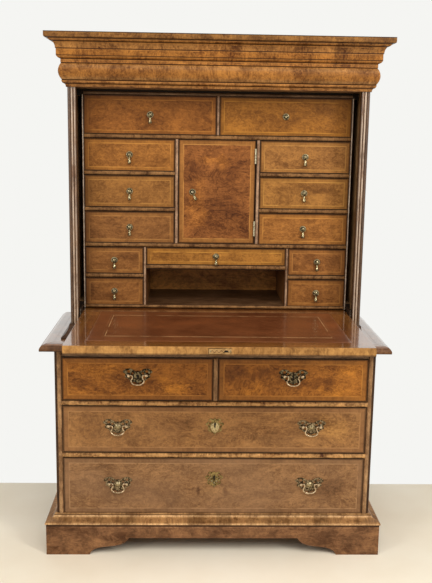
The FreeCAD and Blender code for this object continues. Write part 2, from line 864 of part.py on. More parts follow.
def fall():
    """Writing fall, laid open."""
    under_z = writing_z - fall_t
    layer_y = fall_y + fall_edging_t
    tail_y = fall_y + fall_length
    core_z = under_z + fall_face_t
    core_half = fall_half - fall_groove
    layers = [board(-fall_half, fall_half, layer_y, tail_y, under_z, core_z)]
    layers.append(board(-core_half, core_half, layer_y, tail_y, core_z, core_z + fall_core_t))
    layers.append(board(-fall_half, fall_half, layer_y, tail_y, core_z + fall_core_t, writing_z))
    save("fall_panel", layers)
    save("fall_edging", [board(-fall_half, fall_half, fall_y, layer_y, under_z, writing_z)])
    leather_half = fall_half - leather_side_margin
    leather_y = fall_y + leather_front_margin
    leather_back = leather_y + leather_length
    save("fall_leather", [board(-leather_half, leather_half, leather_y, leather_back,
                                writing_z, writing_z + leather_t)])
    plate_half = lock_plate_w / 2
    plate_low = under_z + (fall_t - lock_plate_h) / 2
    save("fall_lock_plate", [board(-plate_half, plate_half, fall_y - lock_plate_t, fall_y,
                                   plate_low, plate_low + lock_plate_h)])


def fall_pivots():
    """Brackets with a tongue in the fall's edge groove and a pin in the case side."""
    solids = []
    inner = fall_half + bracket_gap
    outer = inner + bracket_t
    tip = fall_half - fall_groove + tongue_tip_gap
    tongue_z = writing_z - fall_face_t - fall_core_t + tongue_fit
    tongue_top = writing_z - fall_face_t - tongue_fit
    y0 = pivot_y - bracket_front
    y1 = pivot_y + bracket_back
    plate = board(inner, outer, y0, y1, pivot_z - bracket_down, pivot_z + bracket_up)
    tongue = board(tip, outer, y0, y1, tongue_z, tongue_top)
    pin = rod(V(inner, pivot_y, pivot_z), V(1, 0, 0), pivot_pin_r, upper_clear + pivot_pin_seat - inner)
    bracket = fuse([plate, tongue, pin])
    solids.append(bracket)
    solids.append(bracket.mirror(V(0, 0, 0), V(1, 0, 0)))
    return solids


os.makedirs("parts", exist_ok=True)

# Case
save("plinth", plinth())
save("plinth_moulding", plinth_moulding())
save("base_boards", base_boards())
save("base_sides", both_sides(base_clear, base_half, base_y, back_y, carcass_z, base_top_z))
save("base_rails", base_rails())
save("base_back", [board(-base_clear, base_clear, inner_back_y, back_y, carcass_z, base_top_z)])
save("base_top", base_top())
save("waist_moulding", waist_moulding())
save("foot_moulding", foot_moulding())
save("upper_sides", upper_sides())
save("columns", columns())
save("upper_back", [board(-upper_clear, upper_clear, inner_back_y, back_y, deck_z, case_top_z)])
save("cornice_frame", cornice_frame())
save("cornice_frieze", cornice_frieze())
save("cornice_crown", cornice_crown())
save("nest_boards", nest_boards())
save("door_hinges", door_hinges())

# Fall and door
fall()
save("fall_pivots", fall_pivots())
door()

# Base drawers
short_x = divider_t / 2
short_middle = (short_x + base_clear) / 2
base_drawer("base_drawer_top_left", -base_clear, -short_x, top_z, top_top_z, (-short_middle,),
            top_handle_lift, 0)
base_drawer("base_drawer_top_right", short_x, base_clear, top_z, top_top_z, (short_middle,),
            top_handle_lift, 0)
long_handle_x = base_clear - long_handle_inset
long_handles = (-long_handle_x, long_handle_x)
base_drawer("base_drawer_middle", -base_clear, base_clear, middle_z, middle_top_z, long_handles,
            middle_handle_lift, middle_escutcheon_lift)
base_drawer("base_drawer_bottom", -base_clear, base_clear, carcass_z, low_top_z, long_handles,
            low_handle_lift, low_escutcheon_lift)

# Nest drawers, from the top down
wide_x = wide_divider_t / 2
for side, hand in ((-1, "left"), (1, "right")):
    def span(inner, outer, side=side):
        return sorted((side * inner, side * outer))

    x0, x1 = span(wide_x, nest_clear)
    nest_drawer("wide_" + hand, x0, x1, wide_z, wide_top_z, with_drop=side < 0)
    x0, x1 = span(row_bay_x, nest_clear)
    for row in range(row_count):
        low = rows_top_z - row_h - row * row_pitch
        nest_drawer("row%d_%s" % (row + 1, hand), x0, x1, low, low + row_h)
    x0, x1 = span(small_bay_x, nest_clear)
    nest_drawer("small_upper_" + hand, x0, x1, small_high_z, small_top_z)
    nest_drawer("small_lower_" + hand, x0, x1, bay_z, bay_z + small_low_h)
nest_drawer("centre", -centre_half, centre_half, centre_z, small_top_z)
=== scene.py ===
import math

import bmesh
import bpy
from mathutils import Matrix, Vector, noise


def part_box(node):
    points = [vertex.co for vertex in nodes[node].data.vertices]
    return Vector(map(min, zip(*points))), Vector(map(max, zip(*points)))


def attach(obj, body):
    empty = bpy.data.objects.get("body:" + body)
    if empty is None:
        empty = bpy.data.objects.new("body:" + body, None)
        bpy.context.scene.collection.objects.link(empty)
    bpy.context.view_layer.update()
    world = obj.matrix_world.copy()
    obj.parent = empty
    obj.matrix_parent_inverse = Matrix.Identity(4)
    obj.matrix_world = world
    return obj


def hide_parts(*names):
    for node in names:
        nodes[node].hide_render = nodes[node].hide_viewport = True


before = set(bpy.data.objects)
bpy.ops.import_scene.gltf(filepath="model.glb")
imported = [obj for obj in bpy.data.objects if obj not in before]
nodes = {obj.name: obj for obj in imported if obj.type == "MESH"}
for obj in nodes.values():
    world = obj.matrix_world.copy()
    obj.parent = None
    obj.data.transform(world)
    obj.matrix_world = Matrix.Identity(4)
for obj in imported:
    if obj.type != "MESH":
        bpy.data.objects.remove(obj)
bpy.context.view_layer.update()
scene = bpy.context.scene

# Planes of the solids that the looks are set against, in metres
BASE_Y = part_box("base_rails")[0].y
NEST_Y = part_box("nest_boards")[0].y
COLUMN_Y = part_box("columns")[0].y
FALL_LOW, FALL_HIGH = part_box("fall_panel")
WRITING_Z = FALL_HIGH.z
LEATHER_LOW, LEATHER_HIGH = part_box("fall_leather")
WAIST_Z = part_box("waist_moulding")[0].z
CASE_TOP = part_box("cornice_frieze")[0].z
CROWN_Z, CORNICE_TOP = (corner.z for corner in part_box("cornice_crown"))
FRIEZE_Z = CASE_TOP + 0.0191
CORONA_Z = CORNICE_TOP - 0.0172

MM = 0.001
FRONT = (0, -1, 0)
FACING = 0.7  # share of a normal along an axis from which a face counts as turned that way
HAIR = 1e-5  # slack of points that share a place
SHARP = math.radians(38)  # edges of new pieces that stay sharp
BEVELLED = math.radians(35)  # edges of the solids that are rounded


# Materials
def srgb(r, g, b):
    """Linear colour from screen values of 0 to 255."""
    def channel(v):
        v = v / 255
        return v / 12.92 if v <= 0.04045 else ((v + 0.055) / 1.055) ** 2.4
    return (channel(r), channel(g), channel(b), 1.0)


def toned(colour, r, g, b):
    """The same colour with each channel multiplied."""
    return (colour[0] * r, colour[1] * g, colour[2] * b, 1.0)


class Value:
    """A node's output that can be reckoned with: each sum, product or size is a new node."""

    def __init__(self, owner, socket):
        self.owner, self.socket = owner, socket

    def __add__(self, other):
        return self.owner.math("ADD", self, other)

    def __sub__(self, other):
        return self.owner.math("SUBTRACT", self, other)

    def __rsub__(self, other):
        return self.owner.math("SUBTRACT", other, self)

    def __mul__(self, other):
        return self.owner.math("MULTIPLY", self, other)

    def __truediv__(self, other):
        return self.owner.math("DIVIDE", self, other)

    def __abs__(self):
        return self.owner.math("ABSOLUTE", self)


class Nodes:
    """The nodes of a material or of the world."""

    def __init__(self, owner):
        owner.use_nodes = True
        self.tree = owner.node_tree
        self.tree.nodes.clear()

    def make(self, kind, inputs=None, **settings):
        """A new node with its inputs linked or set."""
        node = self.tree.nodes.new("ShaderNode" + kind)
        for key, value in settings.items():
            setattr(node, key, value)
        for key, value in (inputs or {}).items():
            if isinstance(value, Value):
                self.tree.links.new(value.socket, node.inputs[key])
            elif value is not None:
                node.inputs[key].default_value = value
        return node

    def value(self, kind, inputs=None, out=0, **settings):
        """One output of a new node."""
        return Value(self, self.make(kind, inputs, **settings).outputs[out])

    def values(self, kind, inputs=None):
        """All outputs of a new node by name."""
        return {socket.name: Value(self, socket) for socket in self.make(kind, inputs).outputs}

    def math(self, operation, a, b=0.0, c=0.0):
        return self.value("Math", {0: a, 1: b, 2: c}, operation=operation)


class Shade(Nodes):
    """One material, read in the coordinates of the object that carries it."""

    def __init__(self, name, tone):
        self.mat = bpy.data.materials.new(name)
        super().__init__(self.mat)
        self.tone = self.colour = tone
        where = self.values("TexCoord")
        self.point = where["Object"]
        self.x, self.y, self.z = self.split(self.point)
        self.nx, self.ny, _ = self.split(where["Normal"])

    def split(self, vector):
        return self.values("SeparateXYZ", {0: vector}).values()

    def vector(self, x, y, z):
        return self.value("CombineXYZ", {0: x, 1: y, 2: z})

    def madd(self, a, b, c):
        """a times b, plus c."""
        return self.math("MULTIPLY_ADD", a, b, c)

    def spread(self, value, low, high):
        """0..1 taken to low..high."""
        return self.madd(value, high - low, low)

    def step(self, value, low, high):
        """0 below low, 1 above high and smooth between them."""
        inputs = {"Value": value, "From Min": low, "From Max": high}
        return self.value("MapRange", inputs, "Result", interpolation_type="SMOOTHSTEP")

    def fade(self, value, low, high):
        """1 below low, 0 above high and smooth between them."""
        return 1.0 - self.step(value, low, high)

    def stretch(self, scale, move=(0, 0, 0), vector=None):
        """Coordinates scaled, alike or axis by axis, and then moved."""
        scale = scale if isinstance(scale, tuple) else (scale,) * 3
        return self.value("Mapping", {"Vector": vector or self.point, "Location": move, "Scale": scale})

    def noise(self, scale, move=(0, 0, 0), detail=3.0, rough=0.55, twist=0.0, vector=None, out="Fac"):
        inputs = {"Vector": self.stretch(scale, move, vector), "Scale": 1.0, "Detail": detail,
                  "Roughness": rough, "Distortion": twist}
        return self.value("TexNoise", inputs, out)

    def cells(self, scale, move=(0, 0, 0)):
        """How far the nearest of many scattered points is."""
        return self.value("TexVoronoi", {"Vector": self.stretch(scale, move), "Scale": 1.0}, "Distance")

    def chance(self, x, y, z):
        """One even value per whole-numbered place."""
        return self.value("TexWhiteNoise", {"Vector": self.vector(x, y, z)}, "Value", noise_dimensions="3D")

    def mix(self, factor, a, b, blend="MIX"):
        return self.value("Mix", {0: factor, 6: a, 7: b}, 2, data_type="RGBA", blend_type=blend)

    def over(self, share, colour, blend="MIX"):
        """Lays a colour over what is there."""
        self.colour = self.mix(share, self.colour, colour, blend)

    def lay(self, share, r, g, b):
        """Lays the tone over what is there, with its channels multiplied."""
        self.over(share, toned(self.tone, r, g, b))

    def dimmed(self, colour, value):
        """A colour with all its channels multiplied by one value."""
        grey = self.value("CombineColor", {0: value, 1: value, 2: value})
        return self.mix(1.0, colour, grey, "MULTIPLY")

    def ramp(self, factor, *stops):
        node = self.make("ValToRGB", {"Fac": factor})
        elements = node.color_ramp.elements
        elements[0].position, elements[0].color = stops[0]
        elements[1].position, elements[1].color = stops[-1]
        for position, colour in stops[1:-1]:
            elements.new(position).color = colour
        return Value(self, node.outputs["Color"])

    def bump(self, height, strength, distance, normal=None):
        inputs = {"Height": height, "Strength": strength, "Distance": distance, "Normal": normal}
        return self.value("Bump", inputs)

    def surface(self, rough, normal=None, **values):
        inputs = {"Base Color": self.colour, "Roughness": rough, "Normal": normal}
        inputs.update((key.replace("_", " "), value) for key, value in values.items())
        self.make("OutputMaterial", {"Surface": self.value("BsdfPrincipled", inputs)})
        return self.mat


WOOD = {"Specular_IOR_Level": 0.17, "Coat_Weight": 0.05, "Coat_Roughness": 0.2}
GLOSSY = {"Specular_IOR_Level": 0.4, "Coat_Weight": 0.45, "Coat_Roughness": 0.12}
WAXED = {"Specular_IOR_Level": 0.6, "Coat_Weight": 1.0, "Coat_Roughness": 0.1}
MIRROR = {"Specular_IOR_Level": 0.6, "Coat_Weight": 1.0, "Coat_Roughness": 0.07}
SATIN = (0.3, 0.52)  # lowest and highest roughness

# Lights and darks of walnut: a level of the noise and what each channel is multiplied by
FIGURE = ((0.38, 0.36, 0.29, 0.22), (0.45, 0.7, 0.65, 0.58), (0.503, 1.0, 1.0, 1.0),
          (0.555, 1.32, 1.35, 1.32), (0.63, 1.7, 1.8, 1.8))


def along(grain, long, cross):
    """Scales of a pattern drawn out along one axis."""
    return tuple(long if axis == grain else cross for axis in "xyz")


def walnut(s, tone, grain, seed, figure=1.0, vector=None, depth=1.0, streaks=0.26, fine=1.0):
    """Colour and surface height of walnut: clouds, curled mottle, streaks along the fibres and open pores.

    depth is how far the lights and darks go, streaks the share of straight fibres and fine the mottle's
    scale.
    """
    move = (seed * 1.37, seed * 2.11, seed * 0.83)
    start = vector or s.point
    warp = s.noise(along(grain, 4.5, 9.0), move, 2.0, 0.5, vector=start, out="Color")
    bent = s.value("VectorMath", {0: warp, 1: (0.085 * figure,) * 3, 2: start}, operation="MULTIPLY_ADD")

    def fibres(long, cross, detail, rough=0.55, twist=0.0):
        return s.noise(along(grain, long, cross), move, detail, rough, twist, bent)

    cloud = fibres(9.0, 17.0, 4.0, 0.6, 0.6)
    mottle = fibres(62.0 * fine, 88.0 * fine, 4.0, 0.66, 1.0)
    streak = fibres(10.0, 190.0, 4.0, 0.7)
    value = s.madd(cloud, 0.4, s.madd(mottle, 0.6 - streaks, streak * streaks))
    stops = [(level, toned(tone, *(1 + (c - 1) * depth for c in rgb))) for level, *rgb in FIGURE]
    pores = s.step(fibres(60.0, 1500.0, 2.0), 0.58, 0.7)
    colour = s.mix(pores * 0.25, s.ramp(value, *stops), toned(tone, 0.3, 0.25, 0.2))
    return colour, streak * 0.35 - pores


def polished(s, height, seed, finish=WOOD, gloss=SATIN):
    """The material of wood under an old hand-rubbed finish."""
    wave = s.bump(s.noise(9.0, (seed, 0, seed)), 0.1, 0.004)
    smear = s.noise(26.0, (0, seed, seed), 4.0, 0.65)
    return s.surface(s.spread(smear, *gloss), s.bump(height, 0.16, 0.0004, wave), **finish)


def banded(s, bands, soft=0.0008):
    """Levels that are darker or paler: low, high and what each channel is multiplied by."""
    for low, high, tint in bands:
        inside = s.step(s.z, low - soft, low + soft) * s.fade(s.z, high - soft, high + soft)
        s.over(inside, (*tint, 1), "MULTIPLY")


def seam(s, place, far):
    """Mask of the joints between lengths of wood, at each whole number."""
    part = s.math("FRACT", place)
    return s.fade(s.math("MINIMUM", part, 1.0 - part), 0.004, far)


def plain_wood(name, tone, grain, seed, figure, grime, finish=WOOD, gloss=SATIN, bands=()):
    """Walnut with its fibres along one axis, darker in patches where it is grimy."""
    s = Shade(name, tone)
    s.colour, height = walnut(s, tone, grain, seed, figure)
    banded(s, bands)
    patch = s.step(s.noise(22.0, (seed, 1, 2), 5.0, 0.7), 0.44, 0.66)
    s.lay(patch * grime, 0.34, 0.29, 0.25)
    return polished(s, height, seed, finish, gloss)


def cross_wood(name, tone, seed, block, spread, figure, grime, lines=(), thick=0.0012, fine=1.0, depth=0.8,
               arris_highlight=0.0, crest_highlight=None, bands=()):
    """Moulding veneered in short lengths with the fibres across the run, on the front and on the returns.

    block and spread are the length of a piece of veneer and how much the pieces differ. lines are the heights
    of the quirks between the members, each painted dark with shade and dirt, and arris is how strong a
    painted highlight on the edge below each is, patchy like wear. crest gives the plane and the rise of a
    bead, and how strong a highlight painted along its middle is; its edges get painted shade.
    """
    s = Shade(name, tone)
    side = s.math("GREATER_THAN", abs(s.nx), abs(s.ny))
    run = s.y * side + s.x * (1.0 - side)
    flat = s.vector(run, 0.0, s.z)
    s.colour, height = walnut(s, tone, "z", seed, figure, flat, depth, 0.18, fine)
    sway = s.noise((3.0, 1.0, 0.0), (0, seed, 0), 1.0, vector=flat)
    place = s.madd(sway, 1.6, run / block)
    level = s.madd(side, 7.0, s.math("FLOOR", place))
    s.colour = s.dimmed(s.colour, s.spread(s.chance(level, seed, 2.0), 1.0 - spread, 1.0 + spread))
    s.lay(seam(s, place, 0.012) * 0.3, 0.3, 0.26, 0.22)
    rub = s.noise((38.0, 1.0, 20.0), (0, seed, 0), 4.0, 0.65, vector=flat)
    patch = s.noise((34.0, 34.0, 60.0), (seed, 1, 2), 5.0, 0.7)
    s.lay(s.step(patch, 0.5, 0.68) * grime, 0.32, 0.25, 0.18)
    s.lay(s.step(1.0 - patch, 0.53, 0.68) * grime, 1.45, 1.55, 1.55)
    # Painted highlight along the bead's middle and painted shade along its edges
    if crest_highlight:
        plane, rise, pale = crest_highlight
        low = s.step(s.y, plane - rise * 0.7, plane - rise * 0.15)
        s.lay(low * 0.75, 0.24, 0.19, 0.15)
        high = s.fade(s.y, plane - rise * 0.98, plane - rise * 0.82) * s.step(rub, 0.42, 0.62)
        s.lay(high * pale, 1.75, 1.85, 1.9)
    banded(s, bands)
    # At each quirk: a painted highlight on the edge below, patchy like wear, and a dark line of painted shade
    # and dirt
    for line in lines:
        if arris_highlight:
            worn = s.fade(abs(s.z - (line - thick * 2.4)), thick * 0.4, thick * 1.2)
            worn = worn * s.step(rub, 0.38, 0.6)
            s.lay(worn * arris_highlight, 1.6, 1.75, 1.95)
        dirt = s.fade(abs(s.z - line), thick * 0.6, thick * 1.5)
        s.lay(dirt * 0.9, 0.12, 0.08, 0.05)
    return polished(s, height, seed)


def add_burr(s, seed, burr):
    """The knots, dark swirls and pale flames of burr wood."""
    move = (seed * 0.71, seed * 1.91, seed * 1.13)
    knots = s.fade(s.cells(85.0, move), 0.04, 0.26) * s.step(s.noise(11.0, move, 2.0), 0.52, 0.62)
    s.lay(knots * (burr * 0.6), 0.3, 0.24, 0.2)
    swirl = s.noise((17.0, 17.0, 13.0), (seed, 2.0, seed), 5.0, 0.62, 1.5)
    s.lay(s.step(swirl, 0.5, 0.68) * (burr * 0.8), 0.44, 0.36, 0.3)
    s.lay(s.step(1.0 - swirl, 0.53, 0.7) * (burr * 0.55), 1.4, 1.46, 1.3)


def inlaid(name, rect, tone, band_tone, band, seed, axes="xz", grain="x", figure=1.0, burr=0.0, line=0.75,
           rim=0.75, ends=(0.0, 0.0), haze=0.0, depth=1.0, blots=(), marks=(), finish=WOOD, gloss=SATIN):
    """Veneered face: figured field, a pale string line and crossbanding mitred at the corners.

    rect is the face's low and high place on its two axes. blots are clouds in the figure and marks are plain
    spots: place, reach and depth, dark above 0 and pale below. line is how strong the string is, rim how
    strong the painted shade and dirt round the edge, ends how strong the painted shade at the left and right
    ends, and haze how strong the patches of painted reflection of the floor are.
    """
    s = Shade(name, tone)
    across, up = (getattr(s, axis) for axis in axes)
    a0, a1, b0, b1 = rect

    def inset(coordinate, low, high):
        return (high - low) / 2 - abs(coordinate - (low + high) / 2)

    from_sides, from_ends = inset(across, a0, a1), inset(up, b0, b1)
    edge = s.math("MINIMUM", from_sides, from_ends)
    s.colour, height = walnut(s, tone, grain, seed, figure, None, depth, 0.14, 1.5)
    if burr:
        add_burr(s, seed, burr)
    pull_a, pull_b, _ = s.split(s.noise(16.0, (seed, seed, 0), 4.0, 0.62, out="Color"))
    drift, rise = s.madd(pull_a, 0.12, across - 0.06), s.madd(pull_b, 0.12, up - 0.06)
    for place_a, place_b, rows in ((drift, rise, blots), (across, up, marks)):
        for a, b, wide, tall, share in rows:
            away = s.vector((place_a - a) / wide, (place_b - b) / tall, 0.0)
            away = s.value("VectorMath", {0: away}, "Value", operation="LENGTH")
            cloud = (0.42, 0.34, 0.3, 1) if share > 0 else (1.6, 1.68, 1.4, 1)
            s.over(s.fade(away, 0.25, 1.0) * abs(share), cloud, "MULTIPLY")
    level = walnut(s, band_tone, axes[1], seed + 3.0, 0.35, None, 0.4, 0.2)[0]
    upright = walnut(s, band_tone, axes[0], seed + 5.0, 0.35, None, 0.4, 0.2)[0]
    at_ends = s.step(from_sides - from_ends, -0.0003, 0.0003)
    border = s.mix(at_ends, upright, level)
    block = s.math("FLOOR", across / 0.071) * at_ends + s.math("FLOOR", up / 0.063) * (1.0 - at_ends)
    border = s.dimmed(border, s.spread(s.chance(block, at_ends, seed), 0.88, 1.1))
    s.over(s.fade(edge, band - 0.0004, band + 0.0004), border)
    wobble = s.step(s.noise(24.0, (seed, 0, 0)), 0.28, 0.58)
    string = s.fade(abs(edge - band), 0.0009, 0.0017) * (wobble * line)
    s.over(string, toned(band_tone, 1.85, 2.1, 2.25))
    # Painted shade and dirt round the edge, where the front sits back between the beads
    s.lay(s.fade(edge, 0.0012, 0.0052) * rim, 0.16, 0.12, 0.1)
    # Painted shade at the left and right ends
    for share, away in zip(ends, (across - a0, a1 - across)):
        if share:
            s.lay(s.fade(away, 0.0, 0.034) * share, 0.32, 0.28, 0.26)
    # Painted reflection of the pale floor, in patches
    if haze:
        reflection_patches = s.step(s.noise((5.0, 5.0, 7.0), (seed, 3, 1), 4.0, 0.6), 0.36, 0.66)
        s.lay(reflection_patches * haze, 1.08, 1.2, 1.5)
    return polished(s, height, seed, finish, gloss)


def reeded_wood(name, tone, seed, inner, pitch, middle, crest_highlight, dirt):
    """Upright reeds from inner outwards: painted highlight on middle crests, painted shade and dirt
    elsewhere.
    """
    s = Shade(name, tone)
    s.colour, height = walnut(s, tone, "z", seed, 0.4)
    away = abs(s.x)
    off = abs(s.math("FRACT", (away - inner) / pitch) - 0.5) * 2.0
    near = s.fade(abs(away - middle) / pitch, 0.45, 1.25)
    rub = s.noise((60.0, 60.0, 14.0), (seed, 2, 3), 4.0, 0.65)
    # Painted highlight on the crests of the reeds in the middle, patchy like wear
    worn = s.fade(off, 0.15, 0.75) * s.step(rub, 0.3, 0.58)
    s.over(worn * near, crest_highlight)
    # Painted shade with dirt in the grooves, and painted shade over the reeds away from the middle
    dark = s.math("MAXIMUM", s.step(off, 0.66, 0.94), (1.0 - near) * 0.72)
    s.over(dark * 0.85, dirt)
    return polished(s, height, seed, GLOSSY, (0.22, 0.36))


def oak_wood(name, seed, dovetails=None):
    """Drawer linings and boards out of sight. dovetails gives the joint's front plane, depth and pitch."""
    tone = srgb(150, 112, 70)
    s = Shade(name, tone)
    s.colour, height = walnut(s, tone, "y", seed, 0.3, depth=0.6)
    rays = s.noise(along("y", 30.0, 500.0), (seed, seed, 0), 2.0)
    s.lay(s.step(rays, 0.55, 0.8) * 0.3, 1.3, 1.3, 1.3)
    if dovetails:
        plane, depth, pitch = dovetails
        part = abs(s.math("FRACT", s.z / pitch) - 0.5)
        deep = (s.y - plane) / depth
        tail = s.step(s.madd(deep, -0.12, 0.42) - part, -0.01, 0.01) * s.step(deep, 0.25, 0.28)
        ends = walnut(s, srgb(126, 86, 48), "x", seed + 2.0, 0.3, depth=0.6)[0]
        s.colour = s.mix(tail, ends, s.colour)
    rough = s.spread(s.noise(30.0), 0.55, 0.75)
    return s.surface(rough, s.bump(height, 0.25, 0.0005), Specular_IOR_Level=0.3)


def back_boards(name, tone, seed, pitch):
    """Rough boards that close the back, with dark joints."""
    s = Shade(name, tone)
    place = s.x / pitch
    s.colour, height = walnut(s, tone, "z", seed, 0.5)
    s.colour = s.dimmed(s.colour, s.spread(s.chance(s.math("FLOOR", place), seed, 0.0), 0.78, 1.15))
    joint = seam(s, place, 0.014)
    s.lay(joint, 0.12, 0.12, 0.12)
    saw = s.noise((40.0, 40.0, 700.0), (seed, 0, 0), 2.0)
    height = height + saw * 0.6 - joint * 3.0
    return s.surface(0.75, s.bump(height, 0.4, 0.0008), Specular_IOR_Level=0.2)


def brass(name, tone, dull, grime, seed, rough):
    """Old brass or iron: worn bright in places, dull where dirt stays."""
    s = Shade(name, tone)
    patch = s.noise(210.0, (seed, seed, 0), 4.0, 0.66)
    speck = s.noise(700.0, (0, seed, seed))
    dirt = s.madd(patch, 0.8, speck * 0.2)
    dirt = s.step(dirt, 0.6 - 0.26 * grime, 0.72 - 0.26 * grime)
    s.over(dirt, dull)
    return s.surface(s.spread(dirt, rough, rough + 0.3), s.bump(patch + speck, 0.18, 0.0004), Metallic=1.0)


def lock_plate_brass(name, box, tone, dull):
    """Brass plate let into the edge, dark-lined, with a worn scroll cut along it and a painted highlight
    above.
    """
    s = Shade(name, tone)
    low, high = box
    half, tall = (high.x - low.x) / 2, (high.z - low.z) / 2
    from_ends = half - abs(s.x - (low.x + high.x) / 2)
    level = s.z - (low.z + high.z) / 2
    edge = s.math("MINIMUM", from_ends, tall - abs(level))
    patch = s.noise(130.0, detail=5.0, rough=0.7)
    s.over(s.step(patch, 0.44, 0.66), dull)
    scroll = level - s.math("SINE", s.x * 520.0) * (tall * 0.34)
    cut = s.fade(abs(scroll), 0.0007, 0.0017) * s.step(from_ends, 0.008, 0.01)
    worn = s.spread(s.step(s.x, low.x + half, high.x - half * 0.5), 1.0, 0.25)
    groove = s.math("MAXIMUM", cut, s.fade(edge, 0.0009, 0.0016) * worn)
    # Painted highlight along the upper side of the scroll
    scroll_highlight = s.fade(abs(scroll - 0.0022), 0.0006, 0.0016)
    s.lay(scroll_highlight * 0.6, 1.6, 1.7, 1.85)
    s.over(groove * 0.92, toned(dull, 0.25, 0.22, 0.2))
    return s.surface(s.spread(patch, 0.3, 0.55), s.bump(patch - groove, 0.3, 0.0005), Metallic=1.0)


def hide(name, tone, gilt, lines):
    """Tooled writing leather. lines gives half-widths, front and back places, thickness and strength."""
    s = Shade(name, tone)
    cloud = s.noise((4.0, 6.0, 4.0), (2, 5, 0), 5.0, 0.62, 0.4)
    stain = s.noise((13.0, 15.0, 4.0), (7, 1, 0), 5.0, 0.65)
    s.colour = s.ramp(s.madd(cloud, 0.65, stain * 0.35), (0.36, toned(tone, 0.58, 0.5, 0.46)), (0.5, tone),
                      (0.66, toned(tone, 1.45, 1.42, 1.3)))
    pebble = s.cells(950.0)
    crease = s.noise(120.0, detail=4.0, rough=0.7)
    s.lay(s.step(pebble, 0.45, 0.8) * 0.3, 0.5, 0.42, 0.4)
    rub = s.step(s.noise(22.0, (4, 4, 0), 4.0, 0.6), 0.34, 0.54)
    pressed = 0.0
    for half, front, back, thick, strength in lines:
        dx = (half - abs(s.x)) * 1.8
        dy = (back - front) / 2 - abs(s.y - (front + back) / 2)
        mask = s.fade(abs(s.math("MINIMUM", dx, dy)), thick * 0.5, thick)
        pressed = s.math("MAXIMUM", pressed, mask)
        s.over(mask * (rub * strength), gilt)
    height = s.madd(pebble, -0.6, crease * 0.7) - pressed * 1.2
    normal = s.bump(height, 0.22, 0.0003, s.bump(s.noise(10.0), 0.12, 0.004))
    return s.surface(s.spread(stain, 0.32, 0.5), normal, Specular_IOR_Level=0.3, Coat_Weight=0.35,
                     Coat_Roughness=0.16)


def flat_dark(name, low, high):
    """Near-black painted shade for holes and for the grooves beside beads, with a little dust."""
    s = Shade(name, low)
    s.colour = s.ramp(s.noise(300.0, detail=4.0, rough=0.7), (0.35, low), (0.75, high))
    return s.surface(0.75, Specular_IOR_Level=0.2)


# Mesh helpers
def add_object(name, data):
    obj = bpy.data.objects.new(name, data)
    scene.collection.objects.link(obj)
    return obj


def piece(name, body, slot, finishes, maker, *where):
    """One mesh object made by bmesh code, set on a body."""
    bm = bmesh.new()
    maker(bm, *where)
    bmesh.ops.remove_doubles(bm, verts=bm.verts, dist=1e-6)
    bmesh.ops.recalc_face_normals(bm, faces=bm.faces)
    mesh = bpy.data.meshes.new(name)
    bm.to_mesh(mesh)
    bm.free()
    obj = add_object(name, mesh)
    for finish in finishes:
        mesh.materials.append(finish)
    mesh.shade_smooth()
    mesh.set_sharp_from_angle(angle=SHARP)
    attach(obj, body)
    return obj


def loft(bm, rings, closed_ring=True, cap=True, slot=0):
    """Skin between rings of equal count, with one finish or one for each band."""
    rows = [[bm.verts.new(p) for p in ring] for ring in rings]
    count = len(rows[0])
    slots = slot if isinstance(slot, tuple) else [slot] * (len(rows) - 1)
    for low, high, finish in zip(rows, rows[1:], slots):
        for i in range(count if closed_ring else count - 1):
            j = (i + 1) % count
            bm.faces.new((low[i], low[j], high[j], high[i])).material_index = finish
    if cap:
        for row, finish in ((rows[0], slots[0]), (rows[-1], slots[-1])):
            bm.faces.new(row).material_index = finish


def circle(centre, side, other, radius, count):
    """Points of a circle in the plane of two directions."""
    angles = [2 * math.pi * k / count for k in range(count)]
    return [Vector(centre) + (side * math.cos(a) + other * math.sin(a)) * radius for a in angles]


def turned(bm, centre, axis, count, profile, slot=0):
    """Turned piece: profile holds (radius, distance along the axis) from end to end."""
    axis = Vector(axis).normalized()
    side = axis.orthogonal().normalized()
    other = axis.cross(side)
    loft(bm, [circle(Vector(centre) + axis * reach, side, other, max(radius, HAIR), count)
              for radius, reach in profile], slot=slot)


def smooth_path(points, steps):
    """Points on a curve through the given ones, with their extra values."""
    out = []
    last = len(points) - 1
    for i in range(last):
        near = [points[max(i - 1, 0)], points[i], points[i + 1], points[min(i + 2, last)]]
        for k in range(steps):
            t = k / steps
            out.append([0.5 * (2 * b + (c - a) * t + (2 * a - 5 * b + 4 * c - d) * t * t
                               + (3 * b - a - 3 * c + d) * t ** 3) for a, b, c, d in zip(*near)])
    return out + [points[-1]]


def tube(bm, path, count=14):
    """Round bar along x, y, z, radius rows in a plane of one y."""
    normal = Vector((0, 1, 0))
    rings = []
    for i, row in enumerate(path):
        before = Vector(path[max(i - 1, 0)][:3])
        after = Vector(path[min(i + 1, len(path) - 1)][:3])
        side = (after - before).normalized().cross(normal).normalized()
        rings.append(circle(row[:3], side, normal, row[3], count))
    loft(bm, rings)


